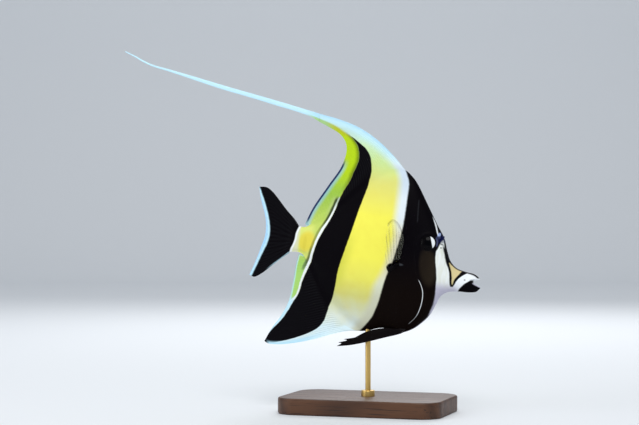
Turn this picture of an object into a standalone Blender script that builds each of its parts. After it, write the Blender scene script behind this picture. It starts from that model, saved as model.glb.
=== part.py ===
"""A moorish idol (Zanclus cornutus), life size, swimming nose-down on a plain display stand.

The fish is drawn in its own frame, in millimetres: X runs forward to the snout, Y to its left side and Z up,
with the origin in the middle of the body. An empty then lifts it above the stand and tips its nose down.
Every flesh node is a solid between two like grids of points, one on each side of the fish.
"""

import math

import bmesh
import bpy
import numpy as np
from mathutils import Vector

MM = 0.001

# Pose of the fish on its stand
NOSE_DOWN = math.radians(8)
SWIM_HEIGHT = 120
GAP = 0.3

# Outline of the body without its fins: back and forehead, then belly, throat and chin
BACK_LINE = [
    (-62, 10.4), (-55.5, 9.6), (-50.5, 9.9), (-46, 12.4), (-40, 17.2), (-29.7, 27.1), (-19.4, 38.3),
    (-11.3, 46.9), (-2.3, 54.8), (4.8, 59.5), (12.2, 62), (19.9, 62.2), (25.6, 58.7), (30.4, 54),
    (39.9, 40.3), (49.3, 25.4), (55, 16.7), (58.1, 8.3), (62, 0.6), (67.9, -3.5), (75, -5), (81.8, -5.8),
    (84.8, -7.2), (86.2, -8.6),
]
BELLY_LINE = [
    (-62, -10.6), (-55.5, -9.5), (-50.5, -10), (-46.5, -13.2), (-41, -21.4), (-33, -33.4), (-26.2, -42.4),
    (-18.8, -50.3), (-12.6, -55.3), (-5.8, -59), (2.3, -60.5), (17.6, -59), (32.3, -57.1), (41.6, -52.8),
    (48.1, -47), (53.2, -40.4), (56.6, -32), (59.3, -25.6), (65, -21.4), (72.1, -20.1), (80.4, -19.5),
    (85.1, -18.3), (87.6, -15.6),
]

# Half the body's width at its thickest, along the body
HALF_WIDTH = [
    (-62, 2), (-57, 2.5), (-50, 3.4), (-35, 6), (-20, 8.6), (-5, 10.7), (8, 11.9), (20, 12.2), (30, 12),
    (40, 11.3), (48, 10.5), (55, 9.3), (60, 8.1), (65, 6.6), (70, 5.4), (75, 4.6), (80, 4), (84, 3.2),
    (87.6, 1.6),
]
FIN_ROOT_HALF = 1.3
KEEL_HALF = 0.35

# How quickly the flanks close towards the back and the belly: 0.5 is round, more is keeled
BACK_SHARPNESS = [(-62, 0.5), (-50, 0.55), (-40, 0.75), (15, 0.75), (30, 0.62), (45, 0.52), (88, 0.5)]
BELLY_SHARPNESS = [(-62, 0.5), (-50, 0.55), (-40, 0.75), (-10, 0.7), (5, 0.52), (40, 0.55), (88, 0.5)]

# Where the body is parted
NAPE_X = 20.5
GILL_LINE = [(26.5, 40), (30.5, 20), (34, 4), (40, -8), (46.5, -16), (51, -26)]
THROAT_X = 53.5
THROAT_SHARE = 0.82
SNOUT_CROWDING = 1.35
STALK_X = -50
TAIL_BASE = [(-56, 10.3), (-57.4, 4.4), (-58, -1.4), (-59, -7), (-59.6, -10.4)]

# Mouth, slightly open
MOUTH_CORNER = (79.6, -11.8)
JAW_BORDER = [(72.1, -20.2), (73.6, -17.2), (76.2, -14)]
UPPER_LIP = [(82, -11.1), (84.7, -10.7), (86.3, -9.9)]
LOWER_LIP = [(82.8, -13), (87.4, -14.6)]
LIP_RADIUS = 1.5
LIP_SWELL = 0.13
LIP_LEAST = 0.04
LIP_FADE = 3

# Dorsal fin and its long filament
DORSAL_LEAD = [(9.7, 71.4), (-3.5, 81), (-18.9, 88.6), (-35.1, 92.8)]
DORSAL_PARTING = 0.4
FILAMENT_ROOT_TOP = (-51.1, 95.1)
FILAMENT_ROOT_LOW = (-50.2, 89)
FILAMENT_ROOT_SHARE = 0.09
DORSAL_TRAIL = [
    (-42, 86.6), (-33, 82.6), (-28, 76.8), (-26.6, 70), (-28.4, 58.4), (-35.8, 42.4), (-46.3, 24),
]
DORSAL_REAR_MARGIN = (-51.2, 12)
DORSAL_WIDTH = 75
FILAMENT_TOP = [
    (-51.4, 95.15), (-70.7, 98.3), (-97, 102.3), (-123.5, 106), (-150.5, 110.2), (-177.7, 114.2),
    (-190, 115.9), (-199, 118.4), (-206, 121), (-214.9, 123.8),
]
FILAMENT_HEIGHT = [
    (-214.9, 0.7), (-200, 1.15), (-180, 1.5), (-166, 2), (-150, 2.6), (-137, 3), (-112, 3.1), (-84, 3.5),
    (-66, 3.6), (-57.5, 4.1), (-51.4, 6.2),
]
FILAMENT_HALF = [(-214.9, 0.22), (-176, 0.4), (-110, 0.5), (-51.4, 0.6)]
FILAMENT_LEAN = 0.16
FILAMENT_EDGE_SHARE = 0.6
FILAMENT_JOIN_X = -128

# Anal fin
ANAL_FRONT_X = 2.3
ANAL_LEAD = [(-5.5, -61.4), (-14.8, -64.6), (-35.4, -73.4), (-52.4, -79), (-62, -80.9), (-68, -81.1)]
ANAL_TIP = (-70.9, -79.8)
ANAL_TRAIL = [(-66.7, -69.7), (-60.5, -59), (-56, -47.4), (-54.4, -31.6), (-54.1, -19.9)]
ANAL_REAR_MARGIN = (-53, -10.5)

# Tail fin
TAIL_UPPER = [(-60.8, 15), (-67.8, 21), (-80.4, 32.6), (-85.4, 35.2)]
TAIL_UPPER_TIP = (-91.2, 34.8)
TAIL_MARGIN = [(-88, 24.6), (-84.2, 15.8), (-81.9, 7.9), (-81.4, -0.7), (-83.3, -9.7), (-86.5, -21.9)]
TAIL_LOWER_TIP = (-89.7, -32)
TAIL_LOWER = [(-65.2, -15), (-73.9, -23.5), (-80.4, -29.7), (-86, -33.2)]

# Paired fins, right side (the left ones mirror them)
PECTORAL_FRONT = [(29.3, -2), (30.4, 5), (31.2, 11)]
PECTORAL_MARGIN = [(28.2, 21), (25, 24.8), (21.6, 26)]
PECTORAL_REAR = [(18.8, -7), (17.8, 2), (17.5, 12)]
PECTORAL_BASE = ((28, -7), (21, -13.2))
PECTORAL_FRONT_TIP = (30.6, 16)
PECTORAL_REAR_TIP = (18.2, 22.5)
PECTORAL_ROWS = [0, 0.03, 0.07, 0.14, 0.28, 0.46, 0.64, 0.82, 1]
PECTORAL_STEP_OUT = 2.4
PECTORAL_STEP_SHARE = 0.05
PECTORAL_SPREAD = 7
PECTORAL_CURL = 1.2
PECTORAL_ROOT_HALF = 1
SHOULDER_LOBE = (24.5, -10.2, 5, 1)
PELVIC_BASE_X = (38, 28)
PELVIC_BASE_RISE = 2.2
PELVIC_LOWER = [(33, -58.4), (22.8, -62.8), (8.6, -68.4), (-2, -71.8)]
PELVIC_LOWER_TIP = (-12, -73.9)
PELVIC_UPPER_TIP = (-11, -70.6)
PELVIC_UPPER = [(21, -55.4), (9.4, -59.2), (-2, -67)]
PELVIC_ROOT_HALF = 0.6
PELVIC_SPLAY = 6.6
PELVIC_SPLAY_SPEED = 1.4
PELVIC_CLEARANCE = 0.6
PELVIC_TIP_LIFT_LEFT = 1.5

# Thickness of the fins, half of it, at the margin; the rays stand on it as low ridges
FIN_MARGIN_HALF = 0.26
FIN_THIN_SHARE = 0.3
RAY_HEIGHT = 0.28
RAY_TAPER = 0.6
DORSAL_RAYS = 26
ANAL_RAYS = 20
TAIL_RAYS = 15
PECTORAL_RAYS = 12
PELVIC_RAYS = 6
CREST_ANGLE = 12
EDGE_ANGLE = 40

# Grid of each body part: columns along it, rows up it
HEAD_GRID = (31, 20)
JAW_GRID = (13, 8)
TRUNK_GRID = (26, 20)
STALK_GRID = (5, 12)
FIN_ROWS = 9
TAIL_CROWDING = 1.3

# Eyes and the small horn in front of each
EYE_CENTRE = (47, 12.1)
EYE_RADIUS = 7.2
EYE_DEPTH = 4.5
EYE_PROUD = 1.8
HORN_PLACE = (53.2, 16.6)
HORN_LENGTH = 2.6
HORN_RADIUS = 1.4
HORN_TIP_RADIUS = 0.35
HORN_SWEEP = (0.9, 0, 0.25)
HORN_CLEARANCE = 0.35
NOSTRIL_DEPTH = 1.2
NOSTRILS = ((56.2, 5.8, 0.6), (55.2, 8.4, 0.45))

# Stand
BASE_LENGTH = 124
BASE_DEPTH = 76
BASE_HEIGHT = 12
BASE_CORNER = 16
BASE_CORNER_STEPS = 8
BASE_CHAMFER = 1.5
ROD_RADIUS = 2
ROD_INSET = 9
COLLAR_RADIUS = 5
COLLAR_HEIGHT = 4

# Colours (linear), roughness and metallic value of each finish
BLACK = ((0.006, 0.005, 0.006), 0.45, 0)
LEMON = ((0.9, 0.78, 0.12), 0.45, 0)
LIME = ((0.55, 0.72, 0.1), 0.45, 0)
PEARL = ((0.8, 0.86, 0.9), 0.4, 0)
CLEAR = ((0.75, 0.78, 0.7), 0.35, 0)
EYE_BLACK = ((0.004, 0.004, 0.006), 0.08, 0)
WALNUT = ((0.1, 0.045, 0.02), 0.5, 0)
BRASS = ((0.7, 0.5, 0.2), 0.3, 1)


def through(points):
    """A smooth curve through the points, as a function of the share of its length."""
    points = np.array(points, float)
    knots = np.append(0, np.cumsum(np.linalg.norm(np.diff(points, axis=0), axis=1) ** 0.5))
    slopes = np.gradient(points, knots, axis=0)
    want = np.linspace(0, knots[-1], 40 * len(points))
    i = np.clip(np.searchsorted(knots, want, side="right") - 1, 0, len(knots) - 2)
    step = (knots[i + 1] - knots[i])[:, None]
    t = (want - knots[i])[:, None] / step
    dense = (
        (2 * t**3 - 3 * t**2 + 1) * points[i]
        + (t**3 - 2 * t**2 + t) * step * slopes[i]
        + (3 * t**2 - 2 * t**3) * points[i + 1]
        + (t**3 - t**2) * step * slopes[i + 1]
    )
    length = np.append(0, np.cumsum(np.linalg.norm(np.diff(dense, axis=0), axis=1)))

    def at(share):
        place = np.asarray(share) * length[-1]
        return np.stack([np.interp(place, length, column) for column in dense.T], axis=-1)

    return at


def read(table, x):
    """A value between the rows of a short table, without corners at the rows."""
    xs, values = np.array(table, float).T
    slopes = np.gradient(values, xs)
    x = np.clip(x, xs[0], xs[-1])
    i = np.clip(np.searchsorted(xs, x, side="right") - 1, 0, len(xs) - 2)
    step = xs[i + 1] - xs[i]
    t = (x - xs[i]) / step
    return (
        (2 * t**3 - 3 * t**2 + 1) * values[i]
        + (t**3 - 2 * t**2 + t) * step * slopes[i]
        + (3 * t**2 - 2 * t**3) * values[i + 1]
        + (t**3 - t**2) * step * slopes[i + 1]
    )


def ease(t):
    t = np.clip(t, 0, 1)
    return t * t * (3 - 2 * t)


BACK = through(BACK_LINE)
BELLY = through(BELLY_LINE)
FINE = np.linspace(0, 1, 1500)
BACK_POINTS = BACK(FINE)
BELLY_POINTS = BELLY(FINE)


def back(x):
    return np.interp(x, *BACK_POINTS.T)


def belly(x):
    return np.interp(x, *BELLY_POINTS.T)


def stretch(curve, points, x_from, x_to, lift=0):
    """A stretch of an outline between two places along the body, moved square to itself by lift."""
    ends = np.interp([x_from, x_to], points[:, 0], FINE)

    def at(t):
        share = ends[0] + (ends[1] - ends[0]) * np.asarray(t)
        ahead = curve(share + 0.004) - curve(share - 0.004)
        ahead /= np.linalg.norm(ahead, axis=-1, keepdims=True)
        return curve(share) + lift * np.stack([-ahead[..., 1], ahead[..., 0]], axis=-1)

    return at


def half_width(x, z):
    """Half the body's thickness over a point of its middle plane."""
    x = np.asarray(x, float)
    z = np.asarray(z, float)
    top, low = back(x), belly(x)
    s = np.clip((2 * z - top - low) / (top - low), -1, 1)
    power = np.where(s > 0, read(BACK_SHARPNESS, x), read(BELLY_SHARPNESS, x))
    fin_back = 1 - ease((x - NAPE_X + 3) / 6)
    fin_belly = 1 - ease((x - ANAL_FRONT_X + 3) / 6)
    rim = KEEL_HALF + (FIN_ROOT_HALF - KEEL_HALF) * np.where(s > 0, fin_back, fin_belly)
    width = rim + (read(HALF_WIDTH, x) - rim) * (1 - s * s) ** power
    lobe_x, lobe_z, lobe_size, lobe_rise = SHOULDER_LOBE
    width = width + lobe_rise * np.exp(-((x - lobe_x) ** 2 + (z - lobe_z) ** 2) / lobe_size**2)
    return width * lip_shape(x, z)


def lip_shape(x, z):
    """The lips: rounded at their inner edge, a little swollen behind it."""
    open_part = ease((x - MOUTH_CORNER[0]) / LIP_FADE)
    upper = np.interp(x, *np.array([MOUTH_CORNER, *UPPER_LIP]).T)
    lower = np.interp(x, *np.array([MOUTH_CORNER, *LOWER_LIP]).T)
    inward = np.maximum(z - upper, lower - z)
    t = np.clip(inward / LIP_RADIUS, LIP_LEAST, 1)
    edge = np.sqrt(1 - (1 - t) ** 2)
    swell = LIP_SWELL * np.exp(-(((inward - LIP_RADIUS) / LIP_RADIUS) ** 2))
    return 1 + open_part * (edge * (1 + swell) - 1)


def patch(low, high, start, end, u, v):
    """A grid of points spread between four curves that meet at their ends."""
    u = np.asarray(u)
    v = np.asarray(v)
    low_u, high_u, start_v, end_v = low(u), high(u), start(v), end(v)
    a = u[:, None, None]
    b = v[None, :, None]
    ruled = (1 - b) * low_u[:, None] + b * high_u[:, None] + (1 - a) * start_v[None] + a * end_v[None]
    corners = (1 - a) * ((1 - b) * low(0) + b * high(0)) + a * ((1 - b) * low(1) + b * high(1))
    return ruled - corners


def spread(count):
    """Shares from 0 to 1 that crowd towards both ends."""
    return (1 - np.cos(np.linspace(0, math.pi, count + 1))) / 2


def straight(start, end):
    start, end = np.array(start, float), np.array(end, float)
    return lambda t: start + (end - start) * np.asarray(t)[..., None]


def material(name, finish):
    colour, roughness, metallic = finish
    made = bpy.data.materials.new(name)
    made.use_nodes = True
    shader = made.node_tree.nodes["Principled BSDF"]
    shader.inputs["Base Color"].default_value = (*colour, 1)
    shader.inputs["Roughness"].default_value = roughness
    shader.inputs["Metallic"].default_value = metallic
    return made


def made_object(name, mesh, finish, parent=None, crease=EDGE_ANGLE):
    thing = bpy.data.objects.new(name, mesh)
    bpy.context.scene.collection.objects.link(thing)
    mesh.materials.append(material(name, finish))
    mesh.shade_smooth()
    mesh.set_sharp_from_angle(angle=math.radians(crease))
    thing.parent = parent
    return thing


def slab(name, right, left, finish, parent, crease=EDGE_ANGLE):
    """A closed solid between two like grids of points, cut into triangles alike, with a strip round it."""
    rows, columns = right.shape[:2]
    count = rows * columns
    points = np.concatenate([right.reshape(count, 3), left.reshape(count, 3)]) * MM
    index = np.arange(count).reshape(rows, columns)
    faces = []
    for i in range(rows - 1):
        for j in range(columns - 1):
            a, b, c, d = index[i, j], index[i + 1, j], index[i + 1, j + 1], index[i, j + 1]
            for one, two, three in ((a, b, c), (a, c, d)):
                faces.append((one, two, three))
                faces.append((three + count, two + count, one + count))
    rim = [*index[:, 0], *index[-1, 1:], *index[-2::-1, -1], *index[0, -2:0:-1]]
    for here, there in zip(rim, rim[1:] + rim[:1]):
        faces.append((there, here, here + count))
        faces.append((there, here + count, there + count))
    mesh = bpy.data.meshes.new(name)
    mesh.from_pydata(points.tolist(), [], [tuple(int(k) for k in face) for face in faces])
    shell = bmesh.new()
    shell.from_mesh(mesh)
    bmesh.ops.recalc_face_normals(shell, faces=shell.faces)
    shell.to_mesh(mesh)
    shell.free()
    return made_object(name, mesh, finish, parent, crease)


def flat_slab(name, plane, half, finish, parent, crease=EDGE_ANGLE):
    """A solid that lies evenly about the middle plane of the fish."""
    x, z = plane[..., 0], plane[..., 1]
    return slab(name, np.stack([x, -half, z], -1), np.stack([x, half, z], -1), finish, parent, crease)


def sheet(name, middle, half, finish, parent):
    """A thin curved solid about a middle surface, its thickness set square to that surface."""
    normal = np.cross(np.gradient(middle, axis=0), np.gradient(middle, axis=1))
    normal /= np.linalg.norm(normal, axis=-1, keepdims=True)
    offset = normal * half[..., None]
    return slab(name, middle + offset, middle - offset, finish, parent, CREST_ANGLE)


def rays(count, first=0, last=1):
    """Places across a fin or a part of it, with a ray and a valley in turn, and how far each stands up."""
    places = np.linspace(0, 1, 2 * count - 1)
    rises = np.where(np.arange(2 * count - 1) % 2 == 0, RAY_HEIGHT, 0)
    inside = (places > first + 0.004) & (places < last - 0.004)
    kept = np.concatenate([[first], places[inside], [last]])
    return kept, np.interp(kept, places, rises)


def fin_half(root, rises, v):
    """Half the thickness of a fin: it thins from its root to its margin, and its rays stand on it."""
    fade = ease(np.asarray(v) / FIN_THIN_SHARE)[None]
    skin = root[:, None] * (1 - fade) + FIN_MARGIN_HALF * fade
    return skin + rises[:, None] * fade * (1 - RAY_TAPER * np.asarray(v)[None])


def cut(thing, cutter):
    """Cuts one closed mesh out of another for good, and takes the cutter away."""
    difference = thing.modifiers.new("cut", "BOOLEAN")
    difference.operation = "DIFFERENCE"
    difference.object = cutter
    bpy.context.view_layer.update()
    evaluated = thing.evaluated_get(bpy.context.evaluated_depsgraph_get())
    whole = bpy.data.meshes.new_from_object(evaluated)
    thing.modifiers.clear()
    thing.data = whole
    bpy.data.objects.remove(cutter)


def ball(name, centre, normal, radius, depth, finish, parent, segments=24, rings=12):
    """A round body flattened along one direction."""
    shell = bmesh.new()
    bmesh.ops.create_uvsphere(shell, u_segments=segments, v_segments=rings, radius=1)
    turn = Vector((0, 0, 1)).rotation_difference(Vector(normal)).to_matrix()
    for vertex in shell.verts:
        flat = Vector((vertex.co.x * radius, vertex.co.y * radius, vertex.co.z * depth))
        vertex.co = (turn @ flat + Vector(centre)) * MM
    mesh = bpy.data.meshes.new(name)
    shell.to_mesh(mesh)
    shell.free()
    return made_object(name, mesh, finish, parent)


def surface(x, z, side):
    """The point of the body's skin over a point of its middle plane, and the way out of it there."""
    step = 0.5
    slope_x = (half_width(x + step, z) - half_width(x - step, z)) / (2 * step)
    slope_z = (half_width(x, z + step) - half_width(x, z - step)) / (2 * step)
    out = Vector((-float(slope_x), side, -float(slope_z))).normalized()
    return Vector((x, side * float(half_width(x, z)), z)), out


def gill_edge(shift):
    """The edge of the gill cover, from nape to throat, moved forward square to itself by shift."""
    top = (NAPE_X + shift, float(back(NAPE_X + shift)))
    low = (THROAT_X + shift, float(belly(THROAT_X + shift)))
    ahead = np.gradient(np.array([top, *GILL_LINE, low]), axis=0)[1:-1]
    ahead /= np.linalg.norm(ahead, axis=1, keepdims=True)
    moved = np.array(GILL_LINE) + shift * np.stack([-ahead[:, 1], ahead[:, 0]], axis=1)
    return through([top, *moved, low])


def backwards(curve):
    return lambda t: curve(1 - np.asarray(t))


def make_head(parent):
    edge = backwards(gill_edge(GAP / 2))
    throat_end = (JAW_BORDER[0][0] - GAP / 2, float(belly(JAW_BORDER[0][0] - GAP / 2)))
    throat = stretch(BELLY, BELLY_POINTS, THROAT_X + GAP / 2, throat_end[0])
    jaw_side = through([throat_end, *((x, z + GAP) for x, z in JAW_BORDER[1:]), MOUTH_CORNER, *UPPER_LIP])

    def underside(t):
        t = np.asarray(t)
        along_jaw = (t - THROAT_SHARE) / (1 - THROAT_SHARE)
        return np.where((t < THROAT_SHARE)[..., None], throat(np.clip(t / THROAT_SHARE, 0, 1)),
                        jaw_side(np.clip(along_jaw, 0, 1)))

    brow = stretch(BACK, BACK_POINTS, NAPE_X + GAP / 2, BACK_LINE[-1][0])
    tip = straight(UPPER_LIP[-1], BACK_LINE[-1])
    along = 1 - (1 - np.linspace(0, 1, HEAD_GRID[0])) ** SNOUT_CROWDING
    plane = patch(underside, brow, edge, tip, along, spread(HEAD_GRID[1]))
    head = flat_slab("head", plane, half_width(plane[..., 0], plane[..., 1]), BLACK, parent)
    for side in (-1, 1):
        place, out = surface(*EYE_CENTRE, side)
        centre = place + out * (EYE_PROUD - EYE_DEPTH)
        cutter = ball("socket", centre, out, EYE_RADIUS + GAP, EYE_DEPTH + GAP, BLACK, parent)
        cut(head, cutter)
        for x, z, radius in NOSTRILS:
            place, out = surface(x, z, side)
            cut(head, ball("nostril", place, out, radius, NOSTRIL_DEPTH, BLACK, parent, 10, 6))
    return head


def make_jaw(parent):
    corner = (MOUTH_CORNER[0] + GAP, MOUTH_CORNER[1] - GAP)
    low_corner = (JAW_BORDER[0][0] + GAP / 2, float(belly(JAW_BORDER[0][0] + GAP / 2)))
    border = through([low_corner, *((x + GAP / 2, z) for x, z in JAW_BORDER[1:]), corner])
    lip = through([corner, *LOWER_LIP])
    chin = stretch(BELLY, BELLY_POINTS, low_corner[0], BELLY_LINE[-1][0])
    tip = straight(BELLY_LINE[-1], LOWER_LIP[-1])
    plane = patch(chin, lip, border, tip, np.linspace(0, 1, JAW_GRID[0]), spread(JAW_GRID[1]))
    return flat_slab("lower_jaw", plane, half_width(plane[..., 0], plane[..., 1]), BLACK, parent)


def make_trunk(parent):
    rear = straight((STALK_X + GAP / 2, float(belly(STALK_X + GAP / 2))),
                    (STALK_X + GAP / 2, float(back(STALK_X + GAP / 2))))
    front = backwards(gill_edge(-GAP / 2))
    low = stretch(BELLY, BELLY_POINTS, STALK_X + GAP / 2, THROAT_X - GAP / 2)
    high = stretch(BACK, BACK_POINTS, STALK_X + GAP / 2, NAPE_X - GAP / 2)
    along = np.linspace(0, 1, TRUNK_GRID[0]) ** TAIL_CROWDING
    plane = patch(low, high, rear, front, along, spread(TRUNK_GRID[1]))
    return flat_slab("trunk", plane, half_width(plane[..., 0], plane[..., 1]), LEMON, parent)


def tail_border(shift):
    points = [(x + shift, z) for x, z in TAIL_BASE]
    points[0] = (points[0][0], float(back(points[0][0])))
    points[-1] = (points[-1][0], float(belly(points[-1][0])))
    return points


def make_stalk(parent):
    border = tail_border(GAP / 2)
    rear = through(border[::-1])
    front = straight((STALK_X - GAP / 2, float(belly(STALK_X - GAP / 2))),
                     (STALK_X - GAP / 2, float(back(STALK_X - GAP / 2))))
    low = stretch(BELLY, BELLY_POINTS, border[-1][0], STALK_X - GAP / 2)
    high = stretch(BACK, BACK_POINTS, border[0][0], STALK_X - GAP / 2)
    plane = patch(low, high, rear, front, np.linspace(0, 1, STALK_GRID[0]), spread(STALK_GRID[1]))
    return flat_slab("tail_stalk", plane, half_width(plane[..., 0], plane[..., 1]), LEMON, parent)


def make_tail(parent):
    border = tail_border(-GAP / 2)
    base = through(border)
    upper = through([border[0], *TAIL_UPPER, TAIL_UPPER_TIP])
    lower = through([border[-1], *TAIL_LOWER, TAIL_LOWER_TIP])
    margin = through([TAIL_UPPER_TIP, *TAIL_MARGIN, TAIL_LOWER_TIP])
    u, rises = rays(TAIL_RAYS)
    v = np.linspace(0, 1, FIN_ROWS)
    plane = patch(base, margin, upper, lower, u, v)
    root = half_width(*base(u).T)
    return flat_slab("caudal_fin", plane, fin_half(root, rises, v), BLACK, parent, CREST_ANGLE)


def make_dorsal(parent):
    """The fin in two parts, one for the spines and the swept front rays, one for the short rear rays."""
    base = backwards(stretch(BACK, BACK_POINTS, STALK_X + 1, NAPE_X - GAP, GAP))
    rear_root = base(1.0)
    lead = through([base(0.0), *DORSAL_LEAD, FILAMENT_ROOT_TOP])
    cross = straight(FILAMENT_ROOT_TOP, FILAMENT_ROOT_LOW)
    trail = through([FILAMENT_ROOT_LOW, *DORSAL_TRAIL, DORSAL_REAR_MARGIN])

    def margin(t):
        t = np.asarray(t)
        along_trail = (t - FILAMENT_ROOT_SHARE) / (1 - FILAMENT_ROOT_SHARE)
        return np.where((t < FILAMENT_ROOT_SHARE)[..., None], cross(np.clip(t / FILAMENT_ROOT_SHARE, 0, 1)),
                        trail(np.clip(along_trail, 0, 1)))

    rear = straight(rear_root, DORSAL_REAR_MARGIN)
    v = np.linspace(0, 1, FIN_ROWS + 1)
    half_gap = GAP / 2 / DORSAL_WIDTH
    for name, first, last in (
        ("dorsal_fin_front", 0, DORSAL_PARTING - half_gap),
        ("dorsal_fin_rear", DORSAL_PARTING + half_gap, 1),
    ):
        u, rises = rays(DORSAL_RAYS, first, last)
        plane = patch(base, margin, lead, rear, u, v)
        root = np.full(len(u), FIN_ROOT_HALF)
        flat_slab(name, plane, fin_half(root, rises, v), LIME, parent, CREST_ANGLE)


def make_filament(name, x_from, x_to, count, parent):
    top = through(FILAMENT_TOP)
    shares = np.linspace(0, 1, 2000)
    line = top(shares)
    ends = np.interp([-x_from, -x_to], -line[:, 0], shares)
    upper = top(np.linspace(*ends, count))
    height = read(FILAMENT_HEIGHT, upper[:, 0])
    lower = upper - np.stack([FILAMENT_LEAN * height, height], -1)
    v = np.array([0, 0.5, 1])[None, :, None]
    plane = upper[:, None] * (1 - v) + lower[:, None] * v
    across = np.array([FILAMENT_EDGE_SHARE, 1, FILAMENT_EDGE_SHARE])
    half = read(FILAMENT_HALF, upper[:, 0])[:, None] * across
    return flat_slab(name, plane, half, PEARL, parent)


def make_anal(parent):
    rear_x = STALK_X + 1
    base = backwards(stretch(BELLY, BELLY_POINTS, rear_x, ANAL_FRONT_X, -GAP))
    lead = through([base(0.0), *ANAL_LEAD, ANAL_TIP])
    margin = through([ANAL_TIP, *ANAL_TRAIL, ANAL_REAR_MARGIN])
    rear = straight(base(1.0), ANAL_REAR_MARGIN)
    u, rises = rays(ANAL_RAYS)
    v = np.linspace(0, 1, FIN_ROWS)
    plane = patch(base, margin, lead, rear, u, v)
    root = np.full(len(u), FIN_ROOT_HALF)
    return flat_slab("anal_fin", plane, fin_half(root, rises, v), BLACK, parent, CREST_ANGLE)


def make_pectoral(name, side, parent):
    base = straight(*PECTORAL_BASE)
    margin = through([PECTORAL_FRONT_TIP, *PECTORAL_MARGIN, PECTORAL_REAR_TIP])
    front = through([PECTORAL_BASE[0], *PECTORAL_FRONT, PECTORAL_FRONT_TIP])
    rear = through([PECTORAL_BASE[1], *PECTORAL_REAR, PECTORAL_REAR_TIP])
    u, rises = rays(PECTORAL_RAYS)
    v = np.array(PECTORAL_ROWS)
    plane = patch(base, margin, front, rear, u, v)
    foot = half_width(plane[:, 0, 0], plane[:, 0, 1]) + GAP
    step = PECTORAL_STEP_OUT * (1 - np.exp(-v / PECTORAL_STEP_SHARE))
    out = foot[:, None] + (step + PECTORAL_SPREAD * v**PECTORAL_CURL)[None]
    middle = np.stack([plane[..., 0], side * out, plane[..., 1]], -1)
    middle[:, 0, 2] = middle[:, 1, 2]
    root = np.full(len(u), PECTORAL_ROOT_HALF)
    return sheet(name, middle, fin_half(root, rises, v), CLEAR, parent)


def make_pelvic(name, side, lift, parent):
    front_x, rear_x = PELVIC_BASE_X
    front_root = (front_x, float(belly(front_x)) + PELVIC_BASE_RISE)
    rear_root = (rear_x, float(belly(rear_x)) + PELVIC_BASE_RISE)
    base = straight(front_root, rear_root)
    lower = through([front_root, *PELVIC_LOWER, PELVIC_LOWER_TIP])
    upper = through([rear_root, *PELVIC_UPPER, PELVIC_UPPER_TIP])
    tip = straight(PELVIC_LOWER_TIP, PELVIC_UPPER_TIP)
    u, rises = rays(PELVIC_RAYS)
    v = np.linspace(0, 1, FIN_ROWS + 3)
    plane = patch(base, tip, lower, upper, u, v)
    half = fin_half(np.full(len(u), PELVIC_ROOT_HALF), rises, v)
    skin = half_width(plane[..., 0], plane[..., 1])
    inside = plane[..., 1] > belly(plane[..., 0])
    foot = skin[:, :1] + GAP + half
    out = foot + (PELVIC_SPLAY - foot) * ease(v * PELVIC_SPLAY_SPEED)[None]
    out = np.where(inside, np.maximum(out, skin + half + PELVIC_CLEARANCE), out)
    middle = np.stack([plane[..., 0], side * out, plane[..., 1] + lift * v[None] ** 2], -1)
    offset = np.stack([np.zeros_like(half), half, np.zeros_like(half)], -1)
    return slab(name, middle - offset, middle + offset, BLACK, parent, CREST_ANGLE)


def make_eye(name, side, parent):
    place, out = surface(*EYE_CENTRE, side)
    centre = place + out * (EYE_PROUD - EYE_DEPTH)
    return ball(name, centre, out, EYE_RADIUS, EYE_DEPTH, EYE_BLACK, parent)


def make_horn(name, side, parent):
    place, out = surface(*HORN_PLACE, side)
    reach = (out + Vector(HORN_SWEEP)).normalized()
    turn = Vector((0, 0, 1)).rotation_difference(out).to_matrix()
    shell = bmesh.new()
    bmesh.ops.create_cone(shell, cap_ends=True, segments=10, radius1=HORN_RADIUS, radius2=HORN_TIP_RADIUS,
                          depth=1)
    for vertex in shell.verts:
        up = vertex.co.z + 0.5
        around = turn @ Vector((vertex.co.x, vertex.co.y, 0))
        vertex.co = (place + out * HORN_CLEARANCE + around + reach * (up * HORN_LENGTH)) * MM
    mesh = bpy.data.meshes.new(name)
    shell.to_mesh(mesh)
    shell.free()
    return made_object(name, mesh, BLACK, parent)


def drum(name, radius, low, high, finish, segments=32):
    shell = bmesh.new()
    bmesh.ops.create_cone(shell, cap_ends=True, segments=segments, radius1=radius * MM, radius2=radius * MM,
                          depth=(high - low) * MM)
    mesh = bpy.data.meshes.new(name)
    shell.to_mesh(mesh)
    shell.free()
    thing = made_object(name, mesh, finish)
    thing.location.z = (low + high) / 2 * MM
    return thing


def make_base():
    shell = bmesh.new()
    corners = []
    for quarter in range(4):
        across = (1, -1, -1, 1)[quarter] * (BASE_LENGTH / 2 - BASE_CORNER)
        deep = (1, 1, -1, -1)[quarter] * (BASE_DEPTH / 2 - BASE_CORNER)
        for k in range(BASE_CORNER_STEPS + 1):
            angle = (quarter + k / BASE_CORNER_STEPS) * math.pi / 2
            corners.append((across + BASE_CORNER * math.cos(angle), deep + BASE_CORNER * math.sin(angle)))
    face = shell.faces.new([shell.verts.new((x * MM, y * MM, 0)) for x, y in corners])
    grown = bmesh.ops.extrude_face_region(shell, geom=[face])
    for item in grown["geom"]:
        if isinstance(item, bmesh.types.BMVert):
            item.co.z = BASE_HEIGHT * MM
    bmesh.ops.recalc_face_normals(shell, faces=shell.faces)
    mesh = bpy.data.meshes.new("stand_base")
    shell.to_mesh(mesh)
    shell.free()
    plate = made_object("stand_base", mesh, WALNUT)
    chamfer = plate.modifiers.new("chamfer", "BEVEL")
    chamfer.width = BASE_CHAMFER * MM
    chamfer.segments = 2
    chamfer.limit_method = "ANGLE"
    return plate


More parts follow.
